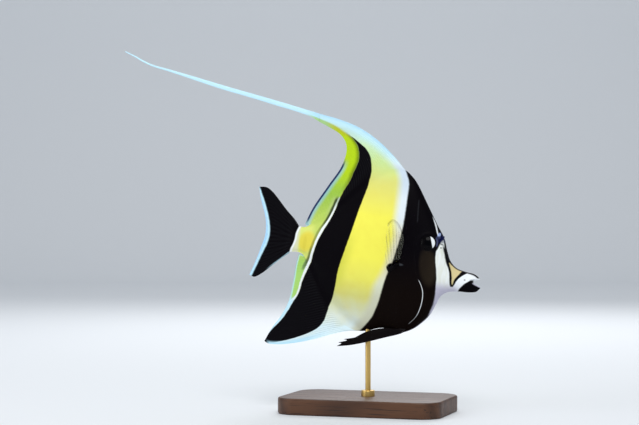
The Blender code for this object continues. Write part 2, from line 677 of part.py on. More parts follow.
def make_stand(trunk):
    """Plate, collar and one rod, which stands in a blind hole in the belly."""
    make_base()
    fish_x = -float(belly(0)) * math.tan(NOSE_DOWN)
    belly_height = SWIM_HEIGHT + float(belly(fish_x)) * math.cos(NOSE_DOWN) - fish_x * math.sin(NOSE_DOWN)
    top = belly_height + ROD_INSET
    hole = drum("hole", ROD_RADIUS + GAP, belly_height - 20, top + GAP, BRASS, 24)
    cut(trunk, hole)
    drum("stand_rod", ROD_RADIUS, BASE_HEIGHT + GAP, top, BRASS, 24)
    collar = drum("stand_collar", COLLAR_RADIUS, BASE_HEIGHT + GAP, BASE_HEIGHT + GAP + COLLAR_HEIGHT, BRASS)
    bore = drum("bore", ROD_RADIUS + GAP, BASE_HEIGHT - 5, BASE_HEIGHT + COLLAR_HEIGHT + 5, BRASS, 24)
    cut(collar, bore)


def main():
    for thing in list(bpy.data.objects):
        bpy.data.objects.remove(thing)
    pose = bpy.data.objects.new("swim_pose", None)
    bpy.context.scene.collection.objects.link(pose)
    pose.location.z = SWIM_HEIGHT * MM
    pose.rotation_euler.y = NOSE_DOWN
    bpy.context.view_layer.update()
    make_head(pose)
    make_jaw(pose)
    trunk = make_trunk(pose)
    make_stalk(pose)
    make_tail(pose)
    make_dorsal(pose)
    make_filament("dorsal_filament_inner", FILAMENT_TOP[0][0], FILAMENT_JOIN_X + GAP / 2, 14, pose)
    make_filament("dorsal_filament_outer", FILAMENT_JOIN_X - GAP / 2, FILAMENT_TOP[-1][0], 14, pose)
    make_anal(pose)
    for side, word in ((-1, "right"), (1, "left")):
        make_pectoral(f"pectoral_fin_{word}", side, pose)
        make_pelvic(f"pelvic_fin_{word}", side, PELVIC_TIP_LIFT_LEFT if side > 0 else 0, pose)
        make_eye(f"eye_{word}", side, pose)
        make_horn(f"brow_horn_{word}", side, pose)
    make_stand(trunk)


main()
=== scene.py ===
# %% [markdown]
# # A moorish idol on a stand
# A moorish idol is a reef fish as thin as a plate: lemon yellow and white between black bars, with a long
# snout and a dorsal fin that ends in a trailing streamer. The plain solids of a life-size model are loaded
# first and never moved. The cells below build the surface that shows, around those solids and in their
# frame, and then paint it with sums of shader nodes instead of pictures.

# %% Load the solids
import math

import bpy
import numpy as np
from mathutils import Matrix, Vector


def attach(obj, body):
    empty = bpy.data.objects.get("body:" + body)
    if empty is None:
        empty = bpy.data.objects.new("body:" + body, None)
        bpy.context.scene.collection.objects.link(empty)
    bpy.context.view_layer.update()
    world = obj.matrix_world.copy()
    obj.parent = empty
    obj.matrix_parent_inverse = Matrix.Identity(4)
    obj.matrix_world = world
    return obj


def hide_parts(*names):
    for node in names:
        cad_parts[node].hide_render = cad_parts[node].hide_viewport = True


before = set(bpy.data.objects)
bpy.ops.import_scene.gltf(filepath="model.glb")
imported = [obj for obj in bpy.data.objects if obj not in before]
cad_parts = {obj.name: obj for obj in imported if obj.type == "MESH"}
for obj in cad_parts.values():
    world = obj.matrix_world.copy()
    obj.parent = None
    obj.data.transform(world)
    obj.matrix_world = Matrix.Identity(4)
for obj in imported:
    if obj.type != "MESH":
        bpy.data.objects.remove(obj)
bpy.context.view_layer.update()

# %% [markdown]
# ## Where the fish swims
# The fish is drawn level in its own frame, in millimetres, with X forward to the snout, Y to its left and
# Z up. On the stand it swims 120 mm up with its nose 8 degrees down. Every piece of the fish goes through
# this one transform, and its mesh also keeps the level places, for the paint to read.

# %% Pose of the fish
MM = 0.001
NOSE_DOWN = math.radians(8)
SWIM_HEIGHT = 120
FISH_POSE = Matrix.Translation((0, 0, SWIM_HEIGHT * MM)) @ Matrix.Rotation(NOSE_DOWN, 4, "Y")
print("nose down by", round(math.degrees(NOSE_DOWN)), "degrees at", SWIM_HEIGHT, "mm")

# %% [markdown]
# ## Camera
# The photograph was taken level with the fish through a long lens, from its right side and a little ahead.
# A camera's place follows from the angle, the distance and the point that it looks past, so those are the
# named values here. The lens is long and the distance large, which keeps the perspective as flat as there.

# %% Camera at the photograph's angle
VIEW_TURN = math.radians(18)
VIEW_DISTANCE = 1313.5
VIEW_SIDESTEP = -35.9
VIEW_HEIGHT = 147.63
LENS_MM = 100
SENSOR_MM = 36
SIGHT_END_M = 20


def linked(name, data):
    """A new object with this data, in the scene."""
    thing = bpy.data.objects.new(name, data)
    bpy.context.scene.collection.objects.link(thing)
    return thing


camera_data = bpy.data.cameras.new("camera")
camera_data.lens = LENS_MM
camera_data.sensor_width = SENSOR_MM
camera_data.clip_end = SIGHT_END_M
camera = linked("camera", camera_data)
sight = Vector((-math.sin(VIEW_TURN), math.cos(VIEW_TURN), 0))
aside = Vector((math.cos(VIEW_TURN), math.sin(VIEW_TURN), 0))
camera.location = (Vector((0, 0, VIEW_HEIGHT)) - sight * VIEW_DISTANCE + aside * VIEW_SIDESTEP) * MM
camera.rotation_euler = (math.pi / 2, 0, VIEW_TURN)
bpy.context.scene.camera = camera
print("camera at", [round(v, 4) for v in camera.location])

# %% [markdown]
# ## Curves through a few points
# An animal's outline is smooth, and a few well-placed points say it best. `through` runs a smooth curve
# through them and returns it as a function of the share of its length, so that a grid can be laid along it
# at any fineness. A Bezier curve object would do too, but the points are needed as numbers here.

# %% Helpers for smooth curves
CURVE_STEPS = 40


def read(table, x):
    """A value between the rows of a short table, without corners at the rows."""
    xs, values = np.array(table, float).T
    slopes = np.gradient(values, xs)
    x = np.clip(x, xs[0], xs[-1])
    i = np.clip(np.searchsorted(xs, x, side="right") - 1, 0, len(xs) - 2)
    step = xs[i + 1] - xs[i]
    t = (x - xs[i]) / step
    return (
        (2 * t**3 - 3 * t**2 + 1) * values[i]
        + (t**3 - 2 * t**2 + t) * step * slopes[i]
        + (3 * t**2 - 2 * t**3) * values[i + 1]
        + (t**3 - t**2) * step * slopes[i + 1]
    )


def run(row, power=1.0):
    """How far along a row of points each of them lies."""
    return np.append(0, np.cumsum(np.linalg.norm(np.diff(row, axis=0), axis=1) ** power))


def through(points):
    """A smooth curve through the points, as a function of the share of its length."""
    points = np.array(points, float)
    knots = run(points, 0.5)
    want = np.linspace(0, knots[-1], CURVE_STEPS * len(points))
    dense = [read(np.stack([knots, column], -1), want) for column in points.T]
    length = run(np.stack(dense, -1))

    def at(share):
        place = np.asarray(share) * length[-1]
        return np.stack([np.interp(place, length, column) for column in dense], -1)

    return at


def ease(t):
    t = np.clip(t, 0, 1)
    return t * t * (3 - 2 * t)


def straight(start, end, count):
    return np.linspace(start, end, count + 1)


def curved(points, count):
    """Evenly spaced points of a smooth curve."""
    return through(points)(np.linspace(0, 1, count + 1))


def chain(*rows):
    """Several rows of points that follow each other, joined into one."""
    return np.concatenate([rows[0], *(row[1:] for row in rows[1:])])


print("smooth curves are worked out in", CURVE_STEPS, "steps a point")

# %% [markdown]
# ## Outline of the body
# Seen from the side the body is almost a disc, with a steep straight forehead and a short tube of a snout.
# The two lines below are the back with the forehead, and the belly with the throat and chin, without fins.

# %% Outline of the body
BACK_LINE = [
    (-62, 10.4), (-55.5, 9.6), (-50.5, 9.9), (-46, 12.4), (-40, 17.2), (-29.7, 27.1), (-19.4, 38.3),
    (-11.3, 46.9), (-2.3, 54.8), (4.8, 59.5), (12.2, 62), (19.9, 62.2), (25.6, 58.7), (30.4, 54),
    (39.9, 40.3), (49.7, 25.7), (55.9, 17), (59.1, 8.6), (62.8, 1.1), (68, -3.3), (75, -5), (81.8, -5.8),
    (84.8, -7.2), (86.2, -8.6),
]
BELLY_LINE = [
    (-62, -10.6), (-55.5, -9.5), (-50.5, -10), (-46.5, -13.2), (-41, -21.4), (-33, -33.4), (-26.2, -42.4),
    (-18.8, -50.3), (-12.6, -55.3), (-5.8, -59), (2.3, -60.3), (9, -58.9), (14.5, -56.6), (20, -55.3),
    (26, -55.8), (32.3, -56.9), (41.6, -52.8), (48.1, -47), (53.2, -40.4), (56.6, -32), (59.3, -25.6),
    (65, -21.4), (72.1, -20.1), (80.4, -19.5), (85.1, -18.3), (87.6, -15.6),
]
TAIL_BASE = [(-59.6, -10.4), (-59, -7), (-58, -1.4), (-57.4, 4.4), (-56, 10.3)]
MOUTH_CORNER = (79.4, -11.3)
JAW_BORDER = [(72.1, -20.1), (73.5, -17.2), (76, -13.8), MOUTH_CORNER]
UPPER_LIP = [MOUTH_CORNER, (82, -10.4), (84.6, -9.9), (86.3, -9.3)]
LOWER_LIP = [MOUTH_CORNER, (82.5, -12.6), (87.4, -14.5)]

FINE = np.linspace(0, 1, 1500)


class Outline:
    """The back or the belly, as a height at each place along the body."""

    def __init__(self, line):
        self.curve = through(line)
        self.x, self.z = self.curve(FINE).T

    def __call__(self, x):
        return np.interp(x, self.x, self.z)

    def slope(self, x):
        return np.interp(x, self.x, np.gradient(self.z) / np.gradient(self.x))

    def row(self, start, *legs):
        """Points from a place on. Each leg says how far it goes and in how many even steps."""
        ends = np.interp([start, *(x for x, _ in legs)], self.x, FINE)
        parts = zip(ends, ends[1:], legs)
        return chain(*(self.curve(straight(one, two, steps)) for one, two, (_, steps) in parts))


back, belly = Outline(BACK_LINE), Outline(BELLY_LINE)
depth = max(float(back(x) - belly(x)) for x in range(-50, 60))
print("body depth without fins:", round(depth, 1), "mm")

# %% [markdown]
# ## Small forms on the skin
# The rim round the eye, the edge of the gill cover and the fleshy base of the pectoral fin stand out by
# less than a millimetre. They could be sculpted. As short formulas of the place on the fish they follow the
# skin when its grid changes. The gill cover's edge is the line that the white curve on the chest marks.

# %% Relief of the skin
EYE_CENTRE = (47, 12.1)
EYE_RIM_RADIUS = 6.7
EYE_RIM_RISE = 0.5
SHOULDER_LOBE = (24.5, -10.2, 5, 1)
GILL_EDGE = [
    (35.5, 18), (37.5, 6), (40.5, -8), (44.7, -15.7), (48.4, -22), (49.4, -28), (46.9, -38.8), (39.7, -48.9),
]
GILL_STEP = 0.45
GILL_FADE = 8
GILL_LOW_FADE = 8
GILL_TOP_FADE = 10


def relief(x, z):
    """How far the skin stands out for its small forms."""
    lobe_x, lobe_z, lobe_size, lobe_rise = SHOULDER_LOBE
    lobe = lobe_rise * np.exp(-((x - lobe_x) ** 2 + (z - lobe_z) ** 2) / lobe_size**2)
    from_eye = np.hypot(x - EYE_CENTRE[0], z - EYE_CENTRE[1])
    rim = EYE_RIM_RISE * np.exp(-((from_eye - EYE_RIM_RADIUS) ** 2))
    edge_x, edge_z = np.array(GILL_EDGE[::-1]).T
    ahead = x - np.interp(z, edge_z, edge_x)
    there = ease((z - GILL_EDGE[-1][1]) / GILL_LOW_FADE) * ease((GILL_EDGE[0][1] - z) / GILL_TOP_FADE)
    cover = GILL_STEP * there * ease(ahead + 0.5) * np.exp(-np.maximum(ahead, 0) / GILL_FADE)
    return lobe + rim + cover


print("eye rim", EYE_RIM_RISE, "mm, gill cover", GILL_STEP, "mm proud")

# %% [markdown]
# ## Thickness of the body
# The fish is 24 mm thick at the shoulder and closes to a keel along its back and belly. Sections like that
# could be lofted one by one. Here one formula gives half the thickness over every point of the middle
# plane, so the skin can use any grid. Where a fin stands on the body the two meet in a soft hollow.

# %% Thickness of the body
HALF_WIDTH = [
    (-62, 2), (-57, 2.5), (-50, 3.4), (-35, 6), (-20, 8.6), (-5, 10.7), (8, 11.9), (20, 12.2), (30, 12),
    (40, 11.3), (48, 10.5), (55, 9.3), (60, 8.1), (65, 6.6), (70, 5.4), (75, 4.6), (80, 4), (84, 3.2),
    (87.6, 1.6),
]
FIN_ROOT_HALF = 1.3
KEEL_HALF = 0.15
BACK_SHARPNESS = [(-62, 0.5), (-50, 0.6), (-40, 0.95), (10, 0.95), (28, 0.7), (45, 0.52), (88, 0.5)]
BELLY_SHARPNESS = [(-62, 0.5), (-50, 0.6), (-40, 0.95), (-8, 0.95), (8, 0.58), (40, 0.55), (88, 0.5)]
NAPE_X = 20.2
ANAL_FRONT_X = 2.3
FIN_END_FADE = 6
HOLLOW_MM = [(-62, 1.5), (-50, 1.6), (-38, 4.5), (-20, 6), (20, 5), (88, 5)]
LIP_RADIUS = 1.5
LIP_SWELL = 0.13
LIP_LEAST = 0.04
LIP_FADE = 3


def lip_shape(x, z):
    """The lips: rounded at their inner edge, a little swollen behind it."""
    open_part = ease((x - MOUTH_CORNER[0]) / LIP_FADE)
    upper = np.interp(x, *np.array(UPPER_LIP).T)
    lower = np.interp(x, *np.array(LOWER_LIP).T)
    inward = np.maximum(z - upper, lower - z)
    t = np.clip(inward / LIP_RADIUS, LIP_LEAST, 1)
    edge = np.sqrt(1 - (1 - t) ** 2)
    swell = LIP_SWELL * np.exp(-(((inward - LIP_RADIUS) / LIP_RADIUS) ** 2))
    return 1 + open_part * (edge * (1 + swell) - 1)


def half_width(x, z):
    """Half the body's thickness over a point of its middle plane."""
    top, low = back(x), belly(x)
    s = np.clip((2 * z - top - low) / (top - low), -1, 1)
    above = s > 0
    power = np.where(above, read(BACK_SHARPNESS, x), read(BELLY_SHARPNESS, x))
    fin = 1 - ease((x - np.where(above, NAPE_X, ANAL_FRONT_X)) / FIN_END_FADE + 0.5)
    rim = KEEL_HALF + (FIN_ROOT_HALF - KEEL_HALF) * fin
    slope = np.where(above, back.slope(x), belly.slope(x))
    inward = (1 - np.abs(s)) * (top - low) / 2 / np.sqrt(1 + slope**2)
    hollow = 1 - fin * np.exp(-((inward / read(HOLLOW_MM, x)) ** 2))
    swell = (1 - s * s) ** power * hollow
    return (rim + (read(HALF_WIDTH, x) - rim + relief(x, z)) * swell) * lip_shape(x, z)


print("half thickness at the shoulder:", round(float(half_width(20, 0)), 1), "mm")

# %% [markdown]
# ## One grid for each part of the side
# The skin is one mesh without seams, so its parts have to share their border points. Each part is a Coons
# patch: four rows of points round it, and the grid inside spread between them. The body comes first, and
# each fin then takes its first row from the body's own edge.

# %% Grid of the body
STALK_X = -49
THROAT_X = 53.5
SNOUT_X = 70
DORSAL_RAYS = 40
ANAL_RAYS = 34
TAIL_RAYS = 16
COLUMNS_A_RAY = 6
ROWS_A_TAIL_RAY = 7
TAIL_ROWS = TAIL_RAYS * ROWS_A_TAIL_RAY
STALK_COLUMNS = 14
DORSAL_COLUMNS = DORSAL_RAYS * COLUMNS_A_RAY
ANAL_COLUMNS = ANAL_RAYS * COLUMNS_A_RAY
BELLY_COLUMNS = 92
THROAT_COLUMNS = 40
BORDER_COLUMNS = 34
LIP_COLUMNS = 36
SNOUT_COLUMNS = 66
RIM_CROWDING = 0.8


def patch(low, high, start, end):
    """A grid of points spread between four rows that meet at their ends."""
    u, v = (
        (run(one) / run(one)[-1] + run(two) / run(two)[-1]) / 2
        for one, two in ((low, high), (start, end))
    )
    u, v = u[:, None, None], v[None, :, None]
    ruled = (1 - v) * low[:, None] + v * high[:, None] + (1 - u) * start[None] + u * end[None]
    grid = ruled - (1 - u) * ((1 - v) * low[0] + v * high[0]) - u * ((1 - v) * low[-1] + v * high[-1])
    grid[0], grid[-1] = start, end
    grid[:, 0], grid[:, -1] = low, high
    return grid


low_edge = chain(
    belly.row(
        TAIL_BASE[0][0], (STALK_X, STALK_COLUMNS), (ANAL_FRONT_X, ANAL_COLUMNS), (THROAT_X, BELLY_COLUMNS),
        (JAW_BORDER[0][0], THROAT_COLUMNS),
    ),
    curved(JAW_BORDER, BORDER_COLUMNS),
    curved(UPPER_LIP, LIP_COLUMNS),
)
BROW_COLUMNS = len(low_edge) - 1 - STALK_COLUMNS - DORSAL_COLUMNS - SNOUT_COLUMNS
high_edge = back.row(
    TAIL_BASE[-1][0], (STALK_X, STALK_COLUMNS), (NAPE_X, DORSAL_COLUMNS), (SNOUT_X, BROW_COLUMNS),
    (BACK_LINE[-1][0], SNOUT_COLUMNS),
)
even = np.linspace(0, 1, TAIL_ROWS + 1)
crowded = even + RIM_CROWDING * ((1 - np.cos(math.pi * even)) / 2 - even)
tail_edge = through([low_edge[0], *TAIL_BASE[1:-1], high_edge[0]])(crowded)
snout_edge = low_edge[-1] + crowded[:, None] * (high_edge[-1] - low_edge[-1])
body_plane = patch(low_edge, high_edge, tail_edge, snout_edge)
print("body grid:", body_plane.shape[:2])

# %% [markdown]
# ## Lower jaw
# The jaw is a short wedge under the snout. Its first row is the stretch of the body's edge between the chin
# and the corner of the mouth, so the two are one skin up to that corner and part along the lips.

# %% Grid of the lower jaw
JAW_COLUMNS = 40
JAW_FIRST = STALK_COLUMNS + ANAL_COLUMNS + BELLY_COLUMNS + THROAT_COLUMNS
jaw_border = low_edge[JAW_FIRST : JAW_FIRST + BORDER_COLUMNS + 1]
chin = belly.row(JAW_BORDER[0][0], (BELLY_LINE[-1][0], JAW_COLUMNS))
lower_lip = curved(LOWER_LIP, JAW_COLUMNS)
jaw_plane = patch(chin, lower_lip, jaw_border, straight(BELLY_LINE[-1], LOWER_LIP[-1], BORDER_COLUMNS))
print("jaw grid:", jaw_plane.shape[:2])

# %% [markdown]
# ## Fins of the middle line
# The dorsal, anal and tail fins are thin webs held by bony rays. On each grid one direction runs along the
# rays, so a ray is a ridge in the web's own surface and not a tube laid on it. The rows at the edges are kept
# too, because the paint follows them.

# %% Grids of the dorsal, anal and tail fins
DORSAL_LEAD = [(9.7, 71.4), (-3.5, 81), (-18.9, 88.6), (-35.1, 92.8)]
STREAMER_ROOT_TOP = (-51.1, 95.1)
STREAMER_ROOT_LOW = (-50.2, 89)
DORSAL_TRAIL = [
    (-51.2, 12), (-46.9, 24.3), (-37, 43.1), (-28.8, 58.6), (-26.6, 70), (-28.1, 76.5), (-33.3, 82),
    (-42.2, 86), STREAMER_ROOT_LOW,
]
ANAL_LEAD = [(-5.5, -61.4), (-14.8, -64.6), (-35.4, -73.4), (-52.4, -79), (-62, -80.9), (-68, -81.1)]
ANAL_TRAIL = [
    (-53, -10.5), (-54.1, -19.9), (-54.4, -31.6), (-56, -47.4), (-60.5, -59), (-66.7, -69.7),
    (-70.9, -79.8),
]
TAIL_UPPER = [(-60.8, 15), (-67.8, 21), (-80.4, 32.6), (-85.4, 35.2), (-91.2, 34.8)]
TAIL_LOWER = [(-65.2, -15), (-73.9, -23.5), (-80.4, -29.7), (-86, -33.2), (-89.7, -32)]
TAIL_MARGIN = [
    TAIL_LOWER[-1], (-86.5, -21.9), (-83.3, -9.7), (-81.4, -0.7), (-81.9, 7.9), (-84.2, 15.8), (-88, 24.6),
    TAIL_UPPER[-1],
]
STREAMER_COLUMNS = 22
FIN_ROWS = 56


def fin_grid(base, margin, lead):
    """A fin's grid from its foot to its margin, then its rear row and its front row."""
    rear = straight(base[0], margin[0], FIN_ROWS)
    front = curved([base[-1], *lead, margin[-1]], FIN_ROWS)
    return patch(base, margin, rear, front), rear, front


dorsal_base = high_edge[STALK_COLUMNS : STALK_COLUMNS + DORSAL_COLUMNS + 1]
dorsal_margin = chain(
    curved(DORSAL_TRAIL, DORSAL_COLUMNS - STREAMER_COLUMNS),
    straight(STREAMER_ROOT_LOW, STREAMER_ROOT_TOP, STREAMER_COLUMNS),
)
dorsal_plane, dorsal_rear, dorsal_lead = fin_grid(dorsal_base, dorsal_margin, DORSAL_LEAD)

anal_base = low_edge[STALK_COLUMNS : STALK_COLUMNS + ANAL_COLUMNS + 1]
anal_margin = curved(ANAL_TRAIL, ANAL_COLUMNS)
anal_plane, anal_rear, anal_lead = fin_grid(anal_base, anal_margin, ANAL_LEAD)

tail_margin = through(TAIL_MARGIN)(crowded)
tail_lower = curved([tail_edge[0], *TAIL_LOWER], FIN_ROWS)
tail_upper = curved([tail_edge[-1], *TAIL_UPPER], FIN_ROWS)
tail_plane = patch(tail_edge, tail_margin, tail_lower, tail_upper)
print("fin grids:", dorsal_plane.shape[:2], anal_plane.shape[:2], tail_plane.shape[:2])

# %% [markdown]
# ## Streamer
# The third dorsal spine runs out into a streamer nearly as long as the fish. It starts as the fin's swept
# tip and narrows to a thread. It takes its first row from the last columns of the dorsal fin's edge, so it is
# part of the same skin.

# %% Grid of the streamer
STREAMER_TOP = [
    STREAMER_ROOT_TOP, (-70.7, 98.3), (-97, 102.3), (-123.5, 106), (-150.5, 110.2), (-177.7, 114.2),
    (-190, 115.9), (-199, 118.4), (-206, 121), (-214.9, 123.8),
]
STREAMER_HEIGHT = [
    (-214.9, 0.7), (-200, 1.15), (-180, 1.5), (-166, 2), (-150, 2.6), (-137, 3), (-112, 3.1), (-84, 3.5),
    (-66, 3.6), (-57.5, 4.1), (-51.1, 6.1),
]
STREAMER_HALF = [(-214.9, 0.22), (-176, 0.4), (-110, 0.5), (-51.1, 0.6)]
STREAMER_LEAN = 0.16
STREAMER_LENGTH_COLUMNS = 200
STREAMER_BLEND_MM = 7

streamer_top = curved(STREAMER_TOP, STREAMER_LENGTH_COLUMNS)
streamer_height = read(STREAMER_HEIGHT, streamer_top[:, 0])
streamer_low = streamer_top - np.stack([STREAMER_LEAN * streamer_height, streamer_height], -1)
from_root = np.linalg.norm(streamer_top - streamer_top[0], axis=1)
settled = np.exp(-from_root / STREAMER_BLEND_MM)[:, None]
streamer_low = streamer_low + settled * (np.array(STREAMER_ROOT_LOW) - streamer_low[0])
streamer_root = dorsal_plane[-STREAMER_COLUMNS - 1 :, -1]
streamer_tip = straight(streamer_low[-1], streamer_top[-1], STREAMER_COLUMNS)
streamer_plane = patch(streamer_root, streamer_tip, streamer_low, streamer_top)
print("streamer:", round(float(from_root[-1])), "mm long")

# %% [markdown]
# ## Thickness of the fins
# A fin is thick where it joins the body and thins to its margin. The rays stand up from the web as soft
# ridges and flatten towards their tips. A bead runs along the front edge, where the spines lie together.
# Displacing the mesh with a texture could do this, but a formula over the grid keeps each ray exactly on
# its own column.

# %% Thickness of the fins
FIN_MARGIN_HALF = 0.26
FIN_THIN_SHARE = 0.3
RAY_RISE = 0.14
RAY_TAPER = 0.6
RAY_FOOT_SHARE = 0.1
BEAD_RISE = 0.22
BEAD_MM = 1.3
FAR = 99.0


def distance_to(plane, line):
    """How far each point of a grid is from the nearest point of a line."""
    gaps = plane.reshape(-1, 1, 2) - line[None]
    return np.sqrt((gaps**2).sum(-1)).min(1).reshape(plane.shape[:2])


def fin_half(root, ray, reach, lead):
    """Half the thickness of a fin at each point of its grid."""
    thin = ease(reach / FIN_THIN_SHARE)
    web = root[:, None] * (1 - thin) + FIN_MARGIN_HALF * thin
    ridge = 0.5 + 0.5 * np.cos(2 * math.pi * ray)
    rise = RAY_RISE * ridge * ease(reach / RAY_FOOT_SHARE) * (1 - RAY_TAPER * reach)
    bead = BEAD_RISE * np.exp(-((lead / BEAD_MM) ** 2)) * ease(reach / RAY_FOOT_SHARE)
    return web + rise + bead


print("web at the margin:", 2 * FIN_MARGIN_HALF, "mm, rays up to", RAY_RISE, "mm proud on each side")

# %% [markdown]
# ## Parts of one skin
# Every part becomes a table with one row a point: its place, its half thickness and the numbers for the
# paint. `ray` counts the rays across a fin, `reach` goes from 0 at the fin's foot to 1 at its margin, and
# `lead` and `trail` are the distances to the front and rear edge in millimetres. The body itself is far
# from any fin's edge.

# %% Tables of the skin's parts
STREAMER_BLEND = 15
STREAMER_EDGE = 0.35
skin_parts = {}


def add_part(name, plane, half, ray=0.0, reach=0.0, lead=FAR, trail=FAR):
    shape = plane.shape[:2]
    columns = [np.broadcast_to(value, shape) for value in (half, ray, reach, lead, trail)]
    skin_parts[name] = np.stack([plane[..., 0], plane[..., 1], *columns], -1)


def ray_and_reach(plane, columns_a_ray):
    """Which ray each point of a fin's grid is at, and how far out along it, from 0 to 1."""
    columns, rows = plane.shape[:2]
    return np.meshgrid(np.arange(columns) / columns_a_ray, np.linspace(0, 1, rows), indexing="ij")


def add_fin(name, plane, columns_a_ray, lead_line, trail_line):
    """A fin whose first row is the body's edge: rays run along it, from its foot to its margin."""
    ray, reach = ray_and_reach(plane, columns_a_ray)
    lead = distance_to(plane, lead_line)
    half = fin_half(half_width(*plane[:, 0].T), ray, reach, lead)
    add_part(name, plane, half, ray, reach, lead, distance_to(plane, trail_line))


dorsal_trail = np.concatenate([dorsal_margin[:-STREAMER_COLUMNS], dorsal_rear])
add_fin("dorsal", dorsal_plane, COLUMNS_A_RAY, dorsal_lead, dorsal_trail)
add_fin("anal", anal_plane, COLUMNS_A_RAY, anal_lead, np.concatenate([anal_margin, anal_rear]))
add_fin("tail", tail_plane, ROWS_A_TAIL_RAY, np.concatenate([tail_lower, tail_upper]), tail_margin)

across = np.linspace(-1, 1, STREAMER_COLUMNS + 1)[:, None]
round_half = read(STREAMER_HALF, streamer_top[:, 0])[None] * np.sqrt(1 - (1 - STREAMER_EDGE**2) * across**2)
root_half = skin_parts["dorsal"][-STREAMER_COLUMNS - 1 :, -1, 2][:, None]
joined = ease(from_root / STREAMER_BLEND)[None]
add_part("streamer", streamer_plane, root_half * (1 - joined) + round_half * joined, 0, 1, 0, FAR)
for name, plane in (("jaw", jaw_plane), ("body", body_plane)):
    add_part(name, plane, half_width(plane[..., 0], plane[..., 1]))
print({name: table.shape[:2] for name, table in skin_parts.items()})

# %% [markdown]
# ## From arrays to objects
# A mesh with many thousand points is filled fastest from whole arrays of numbers. These helpers make an
# object from points and faces, close a thin body round its rim, and keep numbers on the mesh for the paint.

# %% Helpers that turn arrays into objects


def new_object(name, points, faces, sharp=None, pose=FISH_POSE):
    """An object from points in millimetres and faces, smooth but for edges sharper than the angle.

    The pose is worked into the mesh, and `place` keeps each point as it was before that, for the paint.
    """
    mesh = bpy.data.meshes.new(name)
    points, faces, pose = np.asarray(points), np.asarray(faces), np.array(pose)
    mesh.vertices.add(len(points))
    mesh.vertices.foreach_set("co", (points * MM @ pose[:3, :3].T + pose[:3, 3]).ravel())
    mesh.attributes.new("place", "FLOAT_VECTOR", "POINT").data.foreach_set("vector", points.ravel())
    mesh.loops.add(faces.size)
    mesh.loops.foreach_set("vertex_index", faces.ravel())
    mesh.polygons.add(len(faces))
    mesh.polygons.foreach_set("loop_start", np.arange(len(faces)) * faces.shape[1])
    mesh.update(calc_edges=True)
    mesh.validate()
    mesh.shade_smooth()
    if sharp:
        mesh.set_sharp_from_angle(angle=math.radians(sharp))
    return linked(name, mesh)


def grid_faces(rows, columns):
    index = np.arange(rows * columns).reshape(rows, columns)
    return np.stack([index[:-1, :-1], index[1:, :-1], index[1:, 1:], index[:-1, 1:]], -1).reshape(-1, 4)


def beside(plane, out):
    """The points of a flat grid, moved out to the left of the fish by so much."""
    return np.stack([plane[..., 0], out, plane[..., 1]], -1)


def both_sides(right, left, faces):
    """Points and faces of a closed body from its two like sides: the rim between them is closed too."""
    right, left = right.reshape(-1, 3), left.reshape(-1, 3)
    count = len(right)
    start = faces.ravel()
    stop = np.roll(faces, -1, axis=1).ravel()
    rim = ~np.isin(start * count + stop, stop * count + start)
    a, b = start[rim], stop[rim]
    strip = np.stack([b, a, a + count, b + count], -1)
    return np.concatenate([right, left]), np.concatenate([faces, faces[:, ::-1] + count, strip])


def store(thing, **numbers):
    """Keeps numbers on a body of two like sides, one for each point of a side, for the paint to read."""
    for name, values in numbers.items():
        both = np.tile(values.ravel(), 2).astype(np.float32)
        thing.data.attributes.new(name, "FLOAT", "POINT").data.foreach_set("value", both)


print("helpers ready: new_object, grid_faces, beside, both_sides, store")

# %% [markdown]
# ## Sewing the skin
# Points that two parts share are merged, the right side is mirrored to the left, and a narrow strip closes
# the rim between the sides. The result is one closed surface. Modifiers could do the same, but with arrays
# it takes a moment, and the numbers for the paint stay with their points.

# %% One skin from all parts
WELD_MM = 0.0005
SKIN_CREASE = 50
tables, faces, count, folded = [], [], 0, 0
for name, table in skin_parts.items():
    part_faces = grid_faces(*table.shape[:2])
    rows = table.reshape(-1, table.shape[-1])
    corner = rows[part_faces][..., :2]
    one, two = corner[:, 2] - corner[:, 0], corner[:, 3] - corner[:, 1]
    area = one[:, 0] * two[:, 1] - one[:, 1] * two[:, 0]
    folded += int((area * np.sign(area.sum()) < 0).sum())
    if area.sum() < 0:
        part_faces = part_faces[:, ::-1]
    tables.append(rows)
    faces.append(part_faces + count)
    count += len(rows)
rows, faces = np.concatenate(tables), np.concatenate(faces)
place = np.round(rows[:, :2] / WELD_MM).astype(np.int64)
_, first, merged = np.unique(place, axis=0, return_index=True, return_inverse=True)
faces = merged.ravel()[faces]
rows = rows[first]
_, _, half, ray, reach, lead, trail = rows.T
skin_points, skin_faces = both_sides(beside(rows, -half), beside(rows, half), faces)
fish_skin = new_object("fish_skin", skin_points, skin_faces, SKIN_CREASE)
store(fish_skin, ray=ray, reach=reach, lead=lead, trail=trail)
print("skin:", len(skin_points), "points,", len(skin_faces), "faces,", folded, "folded cells")

# %% [markdown]
# ## Pectoral fins
# Each pectoral fin is a clear fan on a fleshy black stalk behind the gill cover, and here it beats straight
# up. It isn't flat on the flank: it steps out at its foot and spreads away from the body. The grid runs along
# the rays, and the two faces lie on either side of a curved middle surface.

# %% Pectoral fins
PECTORAL_FRONT = [(28, -7), (29.3, -2), (30.4, 5), (31.2, 11), (30.6, 16)]
PECTORAL_MARGIN = [(30.6, 16), (28.2, 21), (25, 24.8), (21.6, 26), (18.2, 22.5)]
PECTORAL_REAR = [(21, -13.2), (18.8, -7), (17.8, 2), (17.5, 12), (18.2, 22.5)]
PECTORAL_RAYS = 18
PECTORAL_ROWS = 60
COLUMNS_A_SIDE_RAY = 8
PECTORAL_SINK = 0.9
PECTORAL_STEP_OUT = 2.7
PECTORAL_STEP_SHARE = 0.05
PECTORAL_SPREAD = 7
PECTORAL_CURL = 1.2
PECTORAL_ROOT_HALF = 1
PECTORAL_RIPPLE = 0.25
RIGHT, LEFT = -1, 1
SIDE_NAMES = {RIGHT: "right", LEFT: "left"}


